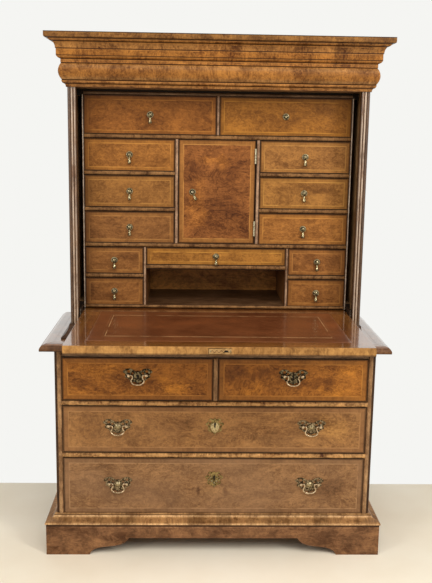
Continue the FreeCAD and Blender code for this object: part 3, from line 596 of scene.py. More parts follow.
def half_round(bm, x0, x1, z0, z1, y, rise, along_x, seed, slot=0, taper=True):
    """Half-round bead on a face at y, its ends rounded off where it tapers and its line a little uneven."""
    spacing, arc, lowest, waver = 0.03, 12, 0.22, 0.00022
    length, width = (x1 - x0, z1 - z0) if along_x else (z1 - z0, x1 - x0)
    reach = 0.35 * width
    count = max(6, int(length / spacing))
    stations = {i / count for i in range(count + 1)}
    if taper:
        nose = min(0.12, reach / length)
        for t in (nose * 0.25, nose * 0.6, nose):
            stations |= {t, 1 - t}
    rings = []
    for t in sorted(stations):
        end = min(t, 1 - t) * length / reach
        grow = math.sqrt(max(0.0, 1 - (1 - min(end, 1)) ** 2)) if taper else 1.0
        wave = waver * noise.noise(Vector((t * length * 9, seed * 3.7, 0)))
        ring = []
        for k in range(arc + 1):
            angle = math.pi * k / arc
            off = -math.cos(angle) * width / 2
            front = y - max((math.sin(angle) ** 0.85) * rise * max(grow, lowest) + wave, 0)
            if along_x:
                ring.append((x0 + t * length, front, (z0 + z1) / 2 + off))
            else:
                ring.append(((x0 + x1) / 2 + off, front, z0 + t * length))
        rings.append(ring)
    loft(bm, rings, closed_ring=False, cap=False, slot=slot)


# Finishes of the wood and brass. The cornice's members are told by their heights above its planes
QUIRKS = [CASE_TOP + rise for rise in (0.0, 0.0097, 0.0189)]
QUIRKS += [CROWN_Z + rise for rise in (0.0, 0.0116, 0.0202, 0.0394, 0.0584, 0.0664)]

# Cornice, corona and frieze: their paler, bluer bands are painted highlight and the warmer, darker ones
# painted shade; their quirks are painted shade and the edges below painted highlight
cornice = cross_wood(
    "cornice_crossgrain", srgb(137, 88, 39), 1.0, 0.04, 0.17, 1.1, 0.6, QUIRKS, fine=1.7, depth=1.3,
    arris_highlight=0.75,
    bands=((CASE_TOP - 0.001, FRIEZE_Z, (0.97, 1.03, 1.28)),
           (CROWN_Z + 0.0202, CROWN_Z + 0.0394, (0.97, 0.93, 0.8)),
           (CROWN_Z + 0.0394, CROWN_Z + 0.067, (1.0, 1.07, 1.26))))
corona = cross_wood("corona_crossgrain", srgb(112, 74, 34), 1.5, 0.03, 0.16, 0.9, 0.7,
                    (CORONA_Z, CORNICE_TOP - 0.001), fine=1.7, depth=1.1, arris_highlight=0.4)
frieze = cross_wood(
    "frieze_crossgrain", srgb(130, 84, 38), 2.0, 0.11, 0.12, 1.2, 0.5, (FRIEZE_Z + 0.0006, CROWN_Z - 0.0004),
    fine=1.9, depth=1.1, arris_highlight=0.35,
    bands=((FRIEZE_Z, FRIEZE_Z + 0.008, (1.02, 1.16, 1.55)),
           (FRIEZE_Z + 0.012, FRIEZE_Z + 0.032, (0.97, 0.93, 0.8)),
           (CROWN_Z - 0.013, CROWN_Z - 0.003, (1.02, 1.1, 1.35))))
# Plinth moulding: the paler, bluer bands are painted highlight on the nosing and the top, the darker band
# painted shade in the hollow, and the two dark lines painted shade
foot_mould = cross_wood(
    "plinth_crossgrain", srgb(164, 122, 77), 3.0, 0.05, 0.22, 1.1, 0.8, (0.0985, 0.1222), 0.001, 1.5,
    bands=((0.1055, 0.115, (0.8, 0.76, 0.72)), (0.0998, 0.104, (1.4, 1.54, 1.85)),
           (0.1165, 0.1205, (1.34, 1.46, 1.7))))
# Plinth: the dark band at its top is painted shade under the moulding's nosing and the pale band below it a
# painted highlight
plinth_wood = plain_wood("plinth_walnut", srgb(120, 82, 52), "x", 4.0, 1.3, 0.6, bands=(
    (0.0925, 0.1, (0.28, 0.25, 0.23)), (0.0885, 0.0925, (1.25, 1.32, 1.45))))
waist_wood = cross_wood("waist_crossgrain", srgb(98, 66, 42), 5.0, 0.07, 0.2, 0.8, 0.6,
                        bands=((WAIST_Z - 0.002, WAIST_Z + 0.0024, (0.4, 0.34, 0.3)),))
foot_wood = plain_wood("foot_walnut", srgb(66, 45, 30), "x", 5.5, 0.5, 0.4)
deck_wood = plain_wood("deck_walnut", srgb(122, 82, 52), "x", 6.0, 0.7, 0.2, WAXED, (0.2, 0.3))
side_wood = plain_wood("side_walnut", srgb(134, 86, 42), "z", 7.0, 1.0, 0.15)
# Front strip of the case sides outside the stile beads, darker: painted shade
stile_shade = plain_wood("stile_walnut", srgb(61, 39, 23), "z", 8.0, 0.3, 0.3)
# The reeds' two colours: a painted highlight for the middle crests and painted shade for the grooves and
# outer reeds
column_wood = reeded_wood("column_walnut", srgb(108, 76, 51), 9.0, 0.418, 0.025 / 3, 0.4275,
                          srgb(178, 157, 136), srgb(44, 31, 21))
# The columns' side faces get a darker copy of the wood: painted shade
column_side_shade = plain_wood("column_sides", srgb(62, 42, 26), "z", 9.2, 0.5, 0.3)
slot_wood = plain_wood("slot_walnut", srgb(130, 99, 66), "z", 9.5, 0.5, 0.3)
inner_wood = plain_wood("inner_walnut", srgb(112, 70, 36), "z", 11.0, 0.8, 0.3)
hole_back = plain_wood("hole_back", srgb(194, 128, 62), "x", 11.4, 1.0, 0.4)
hole_floor = plain_wood("hole_floor", srgb(84, 58, 37), "x", 11.7, 0.6, 0.4)
edge_wood = plain_wood("edge_walnut", srgb(118, 74, 36), "x", 12.0, 0.3, 0.2)
# Rail beads: painted highlight along their middles, painted shade along their edges
bead_rail = cross_wood("bead_rail", srgb(156, 114, 69), 13.0, 0.03, 0.24, 1.1, 0.75, fine=1.5, depth=1.4,
                       crest_highlight=(BASE_Y, 0.0055, 0.75))
bead_stile = plain_wood("bead_stile", srgb(150, 113, 77), "z", 14.0, 0.7, 0.45)
# Nest level beads: painted highlight along their middles, painted shade along their edges
bead_nest = cross_wood("bead_nest_level", srgb(110, 76, 43), 15.0, 0.03, 0.2, 0.9, 0.9, fine=1.8, depth=1.2,
                       crest_highlight=(NEST_Y, 0.0036, 0.6))
# Paler, greyer copy of the bead wood: painted sheen on the nest's upright beads
bead_upright_sheen = plain_wood("bead_nest_upright", srgb(150, 118, 92), "z", 16.0, 0.5, 0.35)
# Darker, greyer copy of the bead wood: painted shade on the beads under the fall and under the cornice
bead_shade = plain_wood("bead_nest_top", srgb(104, 78, 56), "x", 16.8, 0.6, 0.4)
# Pale copy of the bead wood: painted highlight on the nest's outer beads
bead_highlight = plain_wood("bead_nest_outer", srgb(178, 158, 138), "z", 16.5, 0.5, 0.5, GLOSSY)
roof_wood = plain_wood("roof_boards", srgb(120, 92, 62), "x", 17.0, 0.5, 0.4)
back_wood = back_boards("back_boards", srgb(128, 94, 60), 18.0, 0.163)
oak = oak_wood("oak_lining", 19.0)
oak_base = oak_wood("oak_base_dovetails", 20.0, (BASE_Y, 0.02, 0.036))
oak_nest = oak_wood("oak_nest_dovetails", 21.0, (NEST_Y, 0.01, 0.026))

plate_brass = brass("brass_plates", srgb(136, 122, 94), srgb(44, 35, 23), 0.74, 1.0, 0.34)
soft_brass = brass("brass_plates_rubbed", srgb(150, 131, 102), srgb(64, 51, 34), 0.66, 1.5, 0.38)
bright_brass = brass("brass_worn", srgb(208, 184, 150), srgb(104, 84, 58), 0.42, 2.0, 0.28)
boss_brass = brass("brass_bosses", srgb(164, 147, 112), srgb(72, 60, 40), 0.46, 2.5, 0.32)
scutcheon_brass = brass("brass_scutcheons", srgb(150, 130, 84), srgb(92, 74, 42), 0.55, 2.7, 0.36)
shield_brass = brass("brass_shield", srgb(188, 170, 130), srgb(118, 98, 58), 0.4, 2.9, 0.32)
drop_brass = brass("brass_roses", srgb(186, 172, 134), srgb(84, 70, 46), 0.42, 3.0, 0.28)
pull_brass = brass("brass_pulls", srgb(180, 164, 124), srgb(58, 46, 30), 0.52, 3.5, 0.24)
hinge_brass = brass("brass_hinges", srgb(200, 190, 160), srgb(120, 106, 78), 0.35, 4.0, 0.34)
iron = brass("lock_iron", srgb(92, 86, 78), srgb(54, 36, 24), 0.6, 5.0, 0.5)
# Near-black pieces in keyholes and bolt holes: painted shade
dark_slot = flat_dark("dark_slot", (0.003, 0.002, 0.0015, 1), (0.02, 0.014, 0.009, 1))
# Front faces of rails and nest boards behind the beads: painted shade
groove_dirt = flat_dark("groove_dirt", srgb(12, 7, 3), srgb(38, 23, 12))


# Solids: each face gets a finish
def paint(node, rule, *finishes):
    """Gives each face of a solid one of the finishes, by a rule on its centre and normal."""
    mesh = nodes[node].data
    mesh.materials.clear()
    for finish in finishes:
        mesh.materials.append(finish)
    for face in mesh.polygons:
        face.material_index = rule(face.center, face.normal) if rule else 0


def solids_of(mesh):
    """Vertices of each closed solid in a mesh, whose faces follow each other solid by solid."""
    key = [tuple(round(c, 5) for c in v.co) for v in mesh.vertices]
    solids = []
    members = set()
    open_edges = set()
    for face in mesh.polygons:
        ring = [key[i] for i in face.vertices]
        members.update(face.vertices)
        for a, b in zip(ring, ring[1:] + ring[:1]):
            open_edges ^= {frozenset((a, b))}
        if not open_edges:
            solids.append(members)
            members = set()
    if members:
        solids.append(members)
    return [(sorted(group), {key[i] for i in group}) for group in solids]


def soften(width, *names):
    """Rounds the sharp edges of some nodes' solids, each by itself, by a bevel that follows its own mesh."""
    for name in names:
        obj = nodes[name]
        with bpy.context.temp_override(object=obj, active_object=obj, selected_objects=[obj]):
            bpy.ops.mesh.customdata_custom_splitnormals_clear()
        obj.data.shade_smooth()
        layers = []
        for members, corners in solids_of(obj.data):
            free = next((layer for layer in layers if layer[1].isdisjoint(corners)), None)
            if free is None:
                free = (obj.vertex_groups.new(name="solids_%d" % len(layers)), set())
                layers.append(free)
            free[0].add(members, 1.0, "REPLACE")
            free[1].update(corners)
        for group, corners in layers:
            weld = obj.modifiers.new(group.name, "WELD")
            weld.merge_threshold = HAIR
            weld.vertex_group = group.name
        bevel = obj.modifiers.new("bevel", "BEVEL")
        bevel.width = width
        bevel.segments = 2
        bevel.limit_method = "ANGLE"
        bevel.angle_limit = BEVELLED
        bevel.harden_normals = True


def case_side(centre, normal):
    """0 outside, 1 front edge, 2 inside and back."""
    if normal.y < -FACING:
        return 1
    return 0 if abs(normal.x) > FACING and normal.x * centre.x > 0 else 2


def front_face(centre, normal):
    """0 in front, 1 elsewhere."""
    return 0 if normal.y < -FACING else 1


def back_face(centre, normal):
    """0 behind, 1 elsewhere."""
    return 0 if normal.y > FACING else 1


def nest_face(centre, normal):
    """0 front edges beside the beads, 1 boards, 2 outer sides, 3 floor of the open space."""
    if normal.y < -FACING:
        return 0
    if normal.z > FACING and centre.z < WRITING_Z + 0.02:
        return 3
    return 2 if abs(centre.x) > 0.412 else 1


def fall_face(centre, normal):
    """0 writing side, 1 underside, 2 edges."""
    if normal.z > FACING and centre.z > WRITING_Z - 1e-4:
        return 0
    return 1 if normal.z < -FACING and centre.z < FALL_LOW.z + 1e-4 else 2


paint("plinth", None, plinth_wood)
paint("plinth_moulding", None, foot_mould)
paint("base_boards", None, oak)
paint("base_sides", case_side, side_wood, stile_shade, oak)
# Front faces of the rails behind the beads: painted shade
paint("base_rails", front_face, groove_dirt, oak)
paint("base_back", back_face, back_wood, oak)
paint("base_top", lambda c, n: 1 if n.z < -FACING else 0, deck_wood, oak)
paint("waist_moulding", lambda c, n: 1 if n.z > 0.8 else 0, waist_wood, deck_wood)
paint("foot_moulding", None, foot_wood)
paint("upper_sides", case_side, side_wood, stile_shade, slot_wood)
paint("columns", lambda c, n: 0 if n.y < -0.05 and c.y < COLUMN_Y + 0.004 else 1, column_wood, column_side_shade)
paint("upper_back", back_face, back_wood, hole_back)
paint("cornice_frame", lambda c, n: 1 if n.y > FACING else 0, roof_wood, back_wood)
paint("cornice_frieze", lambda c, n: 0 if c.z > FRIEZE_Z + 0.0004 else 1, frieze, cornice)
paint("cornice_crown", lambda c, n: 1 if c.z > CORONA_Z + 0.0002 else 0, cornice, corona)
# Front edges of the nest's boards beside the beads: painted shade
paint("nest_boards", nest_face, groove_dirt, inner_wood, slot_wood, hole_floor)
paint("door_hinges", None, hinge_brass)
paint("door_fittings", None, hinge_brass)
paint("fall_pivots", None, iron)
soften(0.0009, "plinth", "plinth_moulding", "base_sides", "base_top", "waist_moulding", "foot_moulding",
       "upper_sides", "cornice_frieze", "cornice_crown", "cornice_frame")
soften(0.0005, "base_boards", "base_rails", "base_back", "upper_back", "nest_boards", "columns")
soften(0.0003, "door_hinges", "door_fittings", "fall_pivots")

# Fall: veneered underside, bordered writing side and crossbanded edge
fall_rect = (FALL_LOW.x, FALL_HIGH.x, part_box("fall_edging")[0].y, FALL_HIGH.y)
fall_top = inlaid("fall_border", fall_rect, srgb(112, 64, 28), srgb(124, 77, 34), 0.03, 30.0, "xy", "x", 0.6,
                  line=0.4, rim=0.1, depth=0.7, finish=MIRROR, gloss=(0.16, 0.28))
fall_under = inlaid("fall_outside", fall_rect, srgb(140, 88, 40), srgb(152, 97, 44), 0.045, 31.0, "xy", "y",
                    1.1, burr=0.4, rim=0.3)
# The band along the fall edge's lower edge is painted shade
fall_edge = cross_wood("fall_edge", srgb(154, 110, 60), 32.0, 0.06, 0.1, 0.4, 0.2,
                       bands=((FALL_LOW.z - 0.002, FALL_LOW.z + 0.004, (0.46, 0.46, 0.56)),))
lock_finish = lock_plate_brass("brass_lock_plate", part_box("fall_lock_plate"), srgb(190, 152, 104),
                               srgb(118, 86, 52))
paint("fall_panel", fall_face, fall_top, fall_under, edge_wood)
paint("fall_edging", None, fall_edge)
paint("fall_lock_plate", None, lock_finish)
soften(0.0006, "fall_panel")
soften(0.0008, "fall_edging")
soften(0.0003, "fall_lock_plate")


# Drawers and door
BASE_FRONT, NEST_FRONT = 0.02, 0.01  # thickness of the drawer fronts
BASE_BORDER, NEST_BORDER = (0.016, 0.0012), (0.0125, 0.0035)
SCUTCHEON = 0.04  # reach of a plate in the cabinet's middle


def drawer_rule(front_y, front_t, lock):
    """0 veneered front, 1 edges of the front, 2 linings, 3 brass, 4 lock, 5 plate in the cabinet's middle."""
    def rule(centre, normal):
        if centre.y < front_y - HAIR or (centre.y < front_y + HAIR and normal.y > 0.5):
            return 5 if abs(centre.x) < SCUTCHEON else 3
        if centre.y < front_y + HAIR:
            return 0
        if lock and lock(centre):
            return 4
        return 1 if centre.y < front_y + front_t + HAIR else 2
    return rule


def dress_drawer(node, front_y, front_t, tone, band_tone, bands, seed, plates, lining, lock=None, **looks):
    """Finishes of one drawer. bands is the border's width and how much less of it shows along the bottom."""
    band, lost = bands
    low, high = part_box(node)
    rect = (low.x, high.x, low.z - lost, high.z)
    front = inlaid(node + "_front", rect, tone, band_tone, band, seed, **looks)
    paint(node, drawer_rule(front_y, front_t, lock), front, lining, oak, plates, iron,
          scutcheon_brass if lock else plates)
    soften(0.0006, node)


def lock_of(node):
    """Rule that finds the faces of a base drawer's lock case."""
    low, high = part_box(node)
    middle = (low.x + high.x) / 2

    def inside(centre):
        deep = BASE_Y + 0.0201 < centre.y < BASE_Y + 0.0325
        return deep and abs(centre.x - middle) < 0.0325 and high.z - 0.061 < centre.z < high.z - 0.0138
    return inside


# The middle and bottom fronts' paler, bluer tones paint the pale floor's reflection, and the two short
# fronts' tones are painted brighter against the shade of the open fall
base_fronts = (
    ("base_drawer_top_left", srgb(149, 92, 33), srgb(140, 87, 34), plate_brass,
     {"figure": 1.1, "burr": 0.15,
      "blots": ((-0.4, 0.543, 0.07, 0.026, 0.55), (-0.115, 0.527, 0.06, 0.028, -0.9),
                (-0.15, 0.555, 0.05, 0.022, -0.6), (-0.25, 0.56, 0.08, 0.03, 0.25),
                (-0.34, 0.588, 0.07, 0.02, -0.4))}),
    ("base_drawer_top_right", srgb(148, 91, 33), srgb(142, 89, 35), plate_brass,
     {"figure": 1.5, "burr": 0.4,
      "blots": ((0.055, 0.574, 0.06, 0.034, 0.6), (0.13, 0.578, 0.07, 0.03, 0.65),
                (0.31, 0.545, 0.075, 0.026, 0.6), (0.1, 0.525, 0.06, 0.022, -0.7),
                (0.36, 0.52, 0.06, 0.02, -0.6), (0.4, 0.585, 0.05, 0.022, -0.4))}),
    ("base_drawer_middle", srgb(141, 98, 56), srgb(134, 92, 54), soft_brass,
     {"figure": 1.0, "burr": 0.15, "haze": 0.25, "depth": 0.85,
      "blots": ((-0.1, 0.41, 0.14, 0.06, 0.25), (0.36, 0.4, 0.09, 0.05, -0.5),
                (-0.38, 0.4, 0.08, 0.07, 0.4))}),
    ("base_drawer_bottom", srgb(134, 96, 61), srgb(131, 94, 61), soft_brass,
     {"figure": 0.8, "burr": 0.08, "haze": 0.4, "depth": 0.85,
      "blots": ((0.36, 0.2, 0.08, 0.06, 0.5), (-0.22, 0.2, 0.1, 0.05, 0.2)),
      "marks": ((-0.006, 0.215, 0.05, 0.055, -0.3), (-0.049, 0.198, 0.0085, 0.024, 0.9),
                (0.036, 0.196, 0.0095, 0.022, 0.8))}),
)
for count, (node, tone, band_tone, plates, looks) in enumerate(base_fronts):
    dress_drawer(node, BASE_Y, BASE_FRONT, tone, band_tone, BASE_BORDER, 41.0 + count, plates, oak_base,
                 lock_of(node), **looks)

# Nest drawers: tone and share of burr
nest_fronts = {
    "wide_left": (129, 78, 31, 0.45), "wide_right": (136, 86, 31, 0.3), "row1_left": (137, 87, 37, 0.35),
    "row2_left": (128, 84, 39, 0.2), "row3_left": (124, 80, 40, 0.3), "row1_right": (138, 92, 45, 0.2),
    "row2_right": (138, 92, 42, 0.15), "row3_right": (144, 92, 41, 0.3),
    "small_upper_left": (125, 80, 39, 0.2), "small_lower_left": (123, 78, 38, 0.25),
    "small_upper_right": (132, 83, 39, 0.4), "small_lower_right": (130, 82, 38, 0.4),
    "centre": (144, 94, 38, 0.0),
}
# Each nest front gets painted shade at its ends, strongest beside a column
for count, (name, (*rgb, burr)) in enumerate(nest_fronts.items()):
    tone = srgb(*rgb)
    dress_drawer("drawer_" + name, NEST_Y, NEST_FRONT, tone, toned(tone, 1.03, 1.05, 1.0), NEST_BORDER,
                 50.0 + 1.7 * count, drop_brass, oak_nest, figure=0.8 if burr else 0.5, burr=burr * 0.7,
                 ends=(0.55, 0.0) if name.endswith("left") else (0.15, 0.35), depth=0.8)

low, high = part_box("door_panel")
door_front = inlaid(
    "door_burr", (low.x, high.x, low.z, high.z), srgb(118, 70, 32), srgb(138, 90, 42), 0.013, 90.0,
    figure=1.6, burr=0.45, rim=0.4, depth=1.1,
    blots=((0.035, 1.185, 0.06, 0.045, 0.55), (-0.07, 1.19, 0.035, 0.04, 0.6),
           (-0.01, 1.205, 0.055, 0.022, -0.9), (0.03, 1.06, 0.065, 0.055, 0.45),
           (-0.065, 1.06, 0.04, 0.08, -0.8), (-0.04, 1.13, 0.035, 0.04, -0.4)))
paint("door_panel", front_face, door_front, edge_wood)
soften(0.0007, "door_panel")


# Beads on the rails, stiles and nest, and the plinth's moulding
def mirrored(near, far):
    """A stretch of x on the left and on the right: side, low and high."""
    return (-1, -far, -near), (1, near, far)


def base_rail_beads(bm):
    for count, middle in enumerate((0.315, 0.481)):
        half_round(bm, -0.4705, 0.4705, middle - 0.0072, middle + 0.0072, BASE_Y, 0.0055, True, count)
    half_round(bm, -0.464, 0.464, 0.6265, 0.644, BASE_Y, 0.005, True, 3, slot=1)


def base_upright_beads(bm):
    for side, x0, x1 in mirrored(0.4662, 0.4788):
        half_round(bm, x0, x1, 0.1255, 0.649, BASE_Y, 0.0058, False, 5 + side, taper=False)
    half_round(bm, -0.0066, 0.0066, 0.4905, 0.624, BASE_Y, 0.0045, False, 11)


def nest_shelf_beads(bm):
    end, shelf = 0.408, 0.016
    levels = [(-end, end, 0.746, 0.757), (-end, end, 0.938, 0.954), (-end, end, 1.271, 1.287),
              (-0.218, 0.218, 0.87, 0.886)]
    for inner, z0 in ((0.131, 1.049), (0.131, 1.16), (0.227, 0.841)):
        levels += [(x0, x1, z0, z0 + shelf) for side, x0, x1 in mirrored(inner, end)]
    for count, (x0, x1, z0, z1) in enumerate(levels):
        room = 0.0022 if z1 - z0 > 0.012 else 0.001
        half_round(bm, x0 - 0.001, x1 + 0.001, z0 + room, z1 - room, NEST_Y, 0.0036, True, 20 + count)


def nest_upright_beads(bm):
    for near, far, z0, z1 in ((0.2192, 0.2258, 0.756, 0.939), (0.1208, 0.1292, 0.953, 1.272)):
        for side, x0, x1 in mirrored(near, far):
            half_round(bm, x0, x1, z0, z1, NEST_Y, 0.0034, False, 40 + side, taper=False)
    half_round(bm, -0.0036, 0.0036, 1.286, 1.402, NEST_Y, 0.0034, False, 44, taper=False)


def nest_top_bead(bm):
    half_round(bm, -0.4085, 0.4085, 1.4026, 1.4108, NEST_Y, 0.003, True, 48, taper=False)


def nest_outer_beads(bm):
    for side, x0, x1 in mirrored(0.4094, 0.413):
        half_round(bm, x0, x1, 0.746, 1.401, NEST_Y, 0.0026, False, 46 + side, taper=False)


def plinth_ogee(bm):
    """Face of the plinth's moulding: a round nosing under a long hollow, mitred at the two front corners."""
    low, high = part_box("plinth_moulding")
    profile = ((-0.002, 0.0982), (0.0005, 0.0984), (0.0024, 0.0992), (0.0034, 0.101), (0.0033, 0.1032),
               (0.0018, 0.1054), (-0.0014, 0.1074), (-0.0056, 0.109), (-0.01, 0.1106), (-0.0142, 0.1126),
               (-0.0178, 0.1152), (-0.0206, 0.1184), (-0.0222, 0.1214))
    rings = []
    for side, front in ((-1, False), (-1, True), (1, True), (1, False)):
        edge_x = low.x if side < 0 else high.x
        rings.append([(edge_x + side * out, low.y - out if front else high.y, z) for out, z in profile])
    loft(bm, rings, closed_ring=False, cap=False)


for maker, finishes in ((base_rail_beads, (bead_rail, bead_shade)), (base_upright_beads, (bead_stile,)),
                        (nest_shelf_beads, (bead_nest,)), (nest_upright_beads, (bead_upright_sheen,)),
                        (nest_top_bead, (bead_shade,)), (nest_outer_beads, (bead_highlight,)),
                        (plinth_ogee, (foot_mould,))):
    piece(maker.__name__, "case", "walnut", finishes, maker)


# Leather and lock of the fall
def leather_sheet(bm):
    """Thin hide with rolled-down edges and a slightly uneven surface."""
    rim = 0.0012
    x0, x1 = LEATHER_LOW.x, LEATHER_HIGH.x
    y0, y1 = LEATHER_LOW.y, LEATHER_HIGH.y

    def places(a, b, count):
        inner = [a + (b - a) * i / count for i in range(1, count)]
        return [a, a + rim * 0.3, a + rim] + inner + [b - rim, b - rim * 0.3, b]

    rows = []
    for y in places(y0, y1, 40):
        row = []
        for x in places(x0, x1, 72):
            edge = min(x - x0, x1 - x, y - y0, y1 - y)
            drop = 0.0005 * (1 - min(edge / rim, 1.0)) ** 2
            lift = 0.00008 * noise.noise(Vector((x * 14, y * 14, 1.0)))
            row.append((x, y, LEATHER_HIGH.z - drop + lift))
        rows.append(row)
    loft(bm, rows, closed_ring=False, cap=False)


front_line = COLUMN_Y - 0.283
back_line = COLUMN_Y - 0.016
leather = hide("tooled_leather", srgb(101, 55, 28), srgb(206, 164, 112),
               ((0.311, front_line, back_line, 0.0018, 0.85),
                (0.318, front_line - 0.007, back_line + 0.007, 0.0009, 0.3),
                (0.3535, LEATHER_LOW.y + 0.0025, LEATHER_HIGH.y - 0.0025, 0.0012, 0.25)))
writing = piece("writing_leather", "fall", "leather", (leather,), leather_sheet)
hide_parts("fall_leather")


def plate_of(ring, near, far):
    """Two copies of an outline of x and z, at two places in y."""
    return [[(x, y, z) for x, z in ring] for y in (near, far)]


def lock_detail(bm):
    """Countersunk screws of the plate on the fall's front edge, and its bolt hole in painted shade."""
    low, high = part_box("fall_lock_plate")
    z = (low.z + high.z) / 2
    for x in (low.x + 0.0055, high.x - 0.0055):
        turned(bm, (x, low.y, z), FRONT, 18,
               ((0.0026, -0.0004), (0.0026, 0.0001), (0.0021, 0.0005), (0.0, 0.0006)))
    ring = []
    for k in range(20):
        angle = 2 * math.pi * k / 20
        far = 0.0195 if math.cos(angle) > 0 else 0.0125
        ring.append((far + 0.0022 * math.cos(angle), z + 0.0026 * math.sin(angle)))
    loft(bm, plate_of(ring, low.y + 0.0003, low.y - 0.00025), slot=1)


piece("fall_lock_detail", "fall", "brass", (boss_brass, dark_slot), lock_detail)


# Brass of the base drawers
PLATE_DROP = 0.005  # plate's middle under the bail's pins
KEY_RISE = 0.008  # keyhole above its plate's middle
BAIL_TOP, DROP_TOP = 0.0023, 0.0015  # top of a bail's or a drop's solid above its pin
POST_X = 0.027
MIDDLE_Z, BOTTOM_Z = 0.409, 0.237  # plates of the long drawers


def swan_neck(bm, x, y, z):
    """Bail with a reverse curve under each post, thicker in the grip."""
    half, drop, tip = 0.0204, 0.0295, 0.0114
    shares = ((1.0, 0.0, 2.0), (0.87, 0.02, 2.0), (0.77, 0.1, 2.0), (0.74, 0.24, 2.0), (0.83, 0.4, 2.1),
              (0.94, 0.55, 2.2), (0.91, 0.73, 2.3), (0.7, 0.89, 2.5), (0.36, 0.98, 2.7), (0.0, 1.0, 2.8))
    right = [(x + a * half, y, z - d * drop, r * MM) for a, d, r in shares]
    left = [(x - a * half, y, z - d * drop, r * MM) for a, d, r in reversed(shares[:-1])]
    tube(bm, smooth_path(right + left, 6))
    for side in (-1, 1):
        turned(bm, (x + side * half, y, z), (side, 0, 0), 16,
               ((0.0021, -0.002), (0.0024, -0.0005), (0.0019, 0.0008), (0.0018, tip - 0.0016),
                (0.0024, tip - 0.0012), (0.0022, tip - 0.0002), (0.0008, tip)))


def post_caps(bm, x, z):
    """Moulded foot and round head on each of a plate's two posts."""
    for side in (-1, 1):
        post = (x + side * POST_X, BASE_Y - 0.0016, z)
        turned(bm, post, FRONT, 24, ((0.0062, 0.0), (0.0062, 0.0006), (0.0054, 0.0014), (0.0042, 0.0018),
                                     (0.0037, 0.0026), (0.0036, 0.004)))
        turned(bm, post, FRONT, 24, ((0.0036, 0.0098), (0.0043, 0.0102), (0.0046, 0.0112), (0.004, 0.0124),
                                     (0.0024, 0.0131), (0.0, 0.0133)), slot=1)


def boss(bm, x, z):
    """Raised round boss in the middle of a long drawer's plate."""
    turned(bm, (x, BASE_Y - 0.001, z), FRONT, 32,
           ((0.0098, 0.0), (0.0098, 0.0009), (0.0092, 0.0015), (0.0084, 0.0016), (0.0078, 0.0013),
            (0.007, 0.0018), (0.0056, 0.003), (0.0034, 0.0038), (0.0, 0.0041)))


def keyhole_outline(x, z, grow, count=40):
    """Round-headed keyhole as evenly spaced points from its top, running to the right."""
    r = 0.003 + grow
    w = 0.0018 + grow
    low = z - 0.011 - grow
    turn = math.pi - math.asin(w / r)

    def head(side, k):
        angle = math.pi / 2 - side * turn * k / 24
        return x + r * math.cos(angle), z + r * math.sin(angle)

    corners = [head(1, k) for k in range(25)] + [(x + w, low), (x - w, low)]
    corners += [head(-1, k) for k in range(24, 0, -1)]
    corners.append(corners[0])
    reach = [0.0]
    for a, b in zip(corners, corners[1:]):
        reach.append(reach[-1] + math.dist(a, b))
    points = []
    leg = 0
    for k in range(count):
        goal = reach[-1] * k / count
        while reach[leg + 1] < goal:
            leg += 1
        t = (goal - reach[leg]) / max(reach[leg + 1] - reach[leg], 1e-9)
        a, b = corners[leg], corners[leg + 1]
        points.append((a[0] + (b[0] - a[0]) * t, a[1] + (b[1] - a[1]) * t))
    return points


def keyhole(bm, x, z, lift):
    """Near-black piece behind the plate: painted shade for the hole seen through it."""
    loft(bm, plate_of(keyhole_outline(x, z, 0.0003), BASE_Y - 0.0001, BASE_Y - lift))


def shield(bm, x, z):
    """Domed shield round a keyhole, pointed below and open through the middle."""
    inner = keyhole_outline(x, z, 0.0004)
    rings = []
    for share, lift in ((0.0, 0.001), (0.0, 0.0026), (0.1, 0.0031), (0.45, 0.003), (0.75, 0.0024),
                        (0.93, 0.0013), (1.0, 0.0)):
        ring = []
        for k, (a, b) in enumerate(inner):
            angle = math.pi / 2 - 2 * math.pi * k / len(inner)
            wide = 0.0142 * (1 - 0.38 * max(0.0, -math.sin(angle)) ** 1.4)
            far_a, far_b = x + wide * math.cos(angle), z - 0.0125 + 0.0172 * math.sin(angle)
            ring.append((a + (far_a - a) * share, BASE_Y - 0.0014 - lift, b + (far_b - b) * share))
        rings.append(ring)
    loft(bm, rings, cap=False)


def relief(bm, x, z):
    """Cast leaves and beads on the bottom drawer's pierced plate."""
    for dx, dz, size in ((-0.0075, -0.006, 0.0036), (0.0075, -0.006, 0.0036), (0.0, -0.0125, 0.004),
                         (-0.0105, 0.0055, 0.003), (0.0105, 0.0055, 0.003), (0.0, -0.0215, 0.0026),
                         (-0.0165, -0.001, 0.0024), (0.0165, -0.001, 0.0024)):
        turned(bm, (x + dx, BASE_Y - 0.0012, z + dz), FRONT, 20,
               ((size, 0.0), (size * 0.97, 0.0008), (size * 0.8, 0.0018), (size * 0.48, 0.0026),
                (0.0, 0.0029)))
    rings = []
    for grow, lift in ((0.0022, 0.0014), (0.0012, 0.003), (0.0002, 0.0014)):
        rings.append([(a, BASE_Y - lift, b) for a, b in keyhole_outline(x, z + KEY_RISE, grow)])
    loft(bm, rings, cap=False)


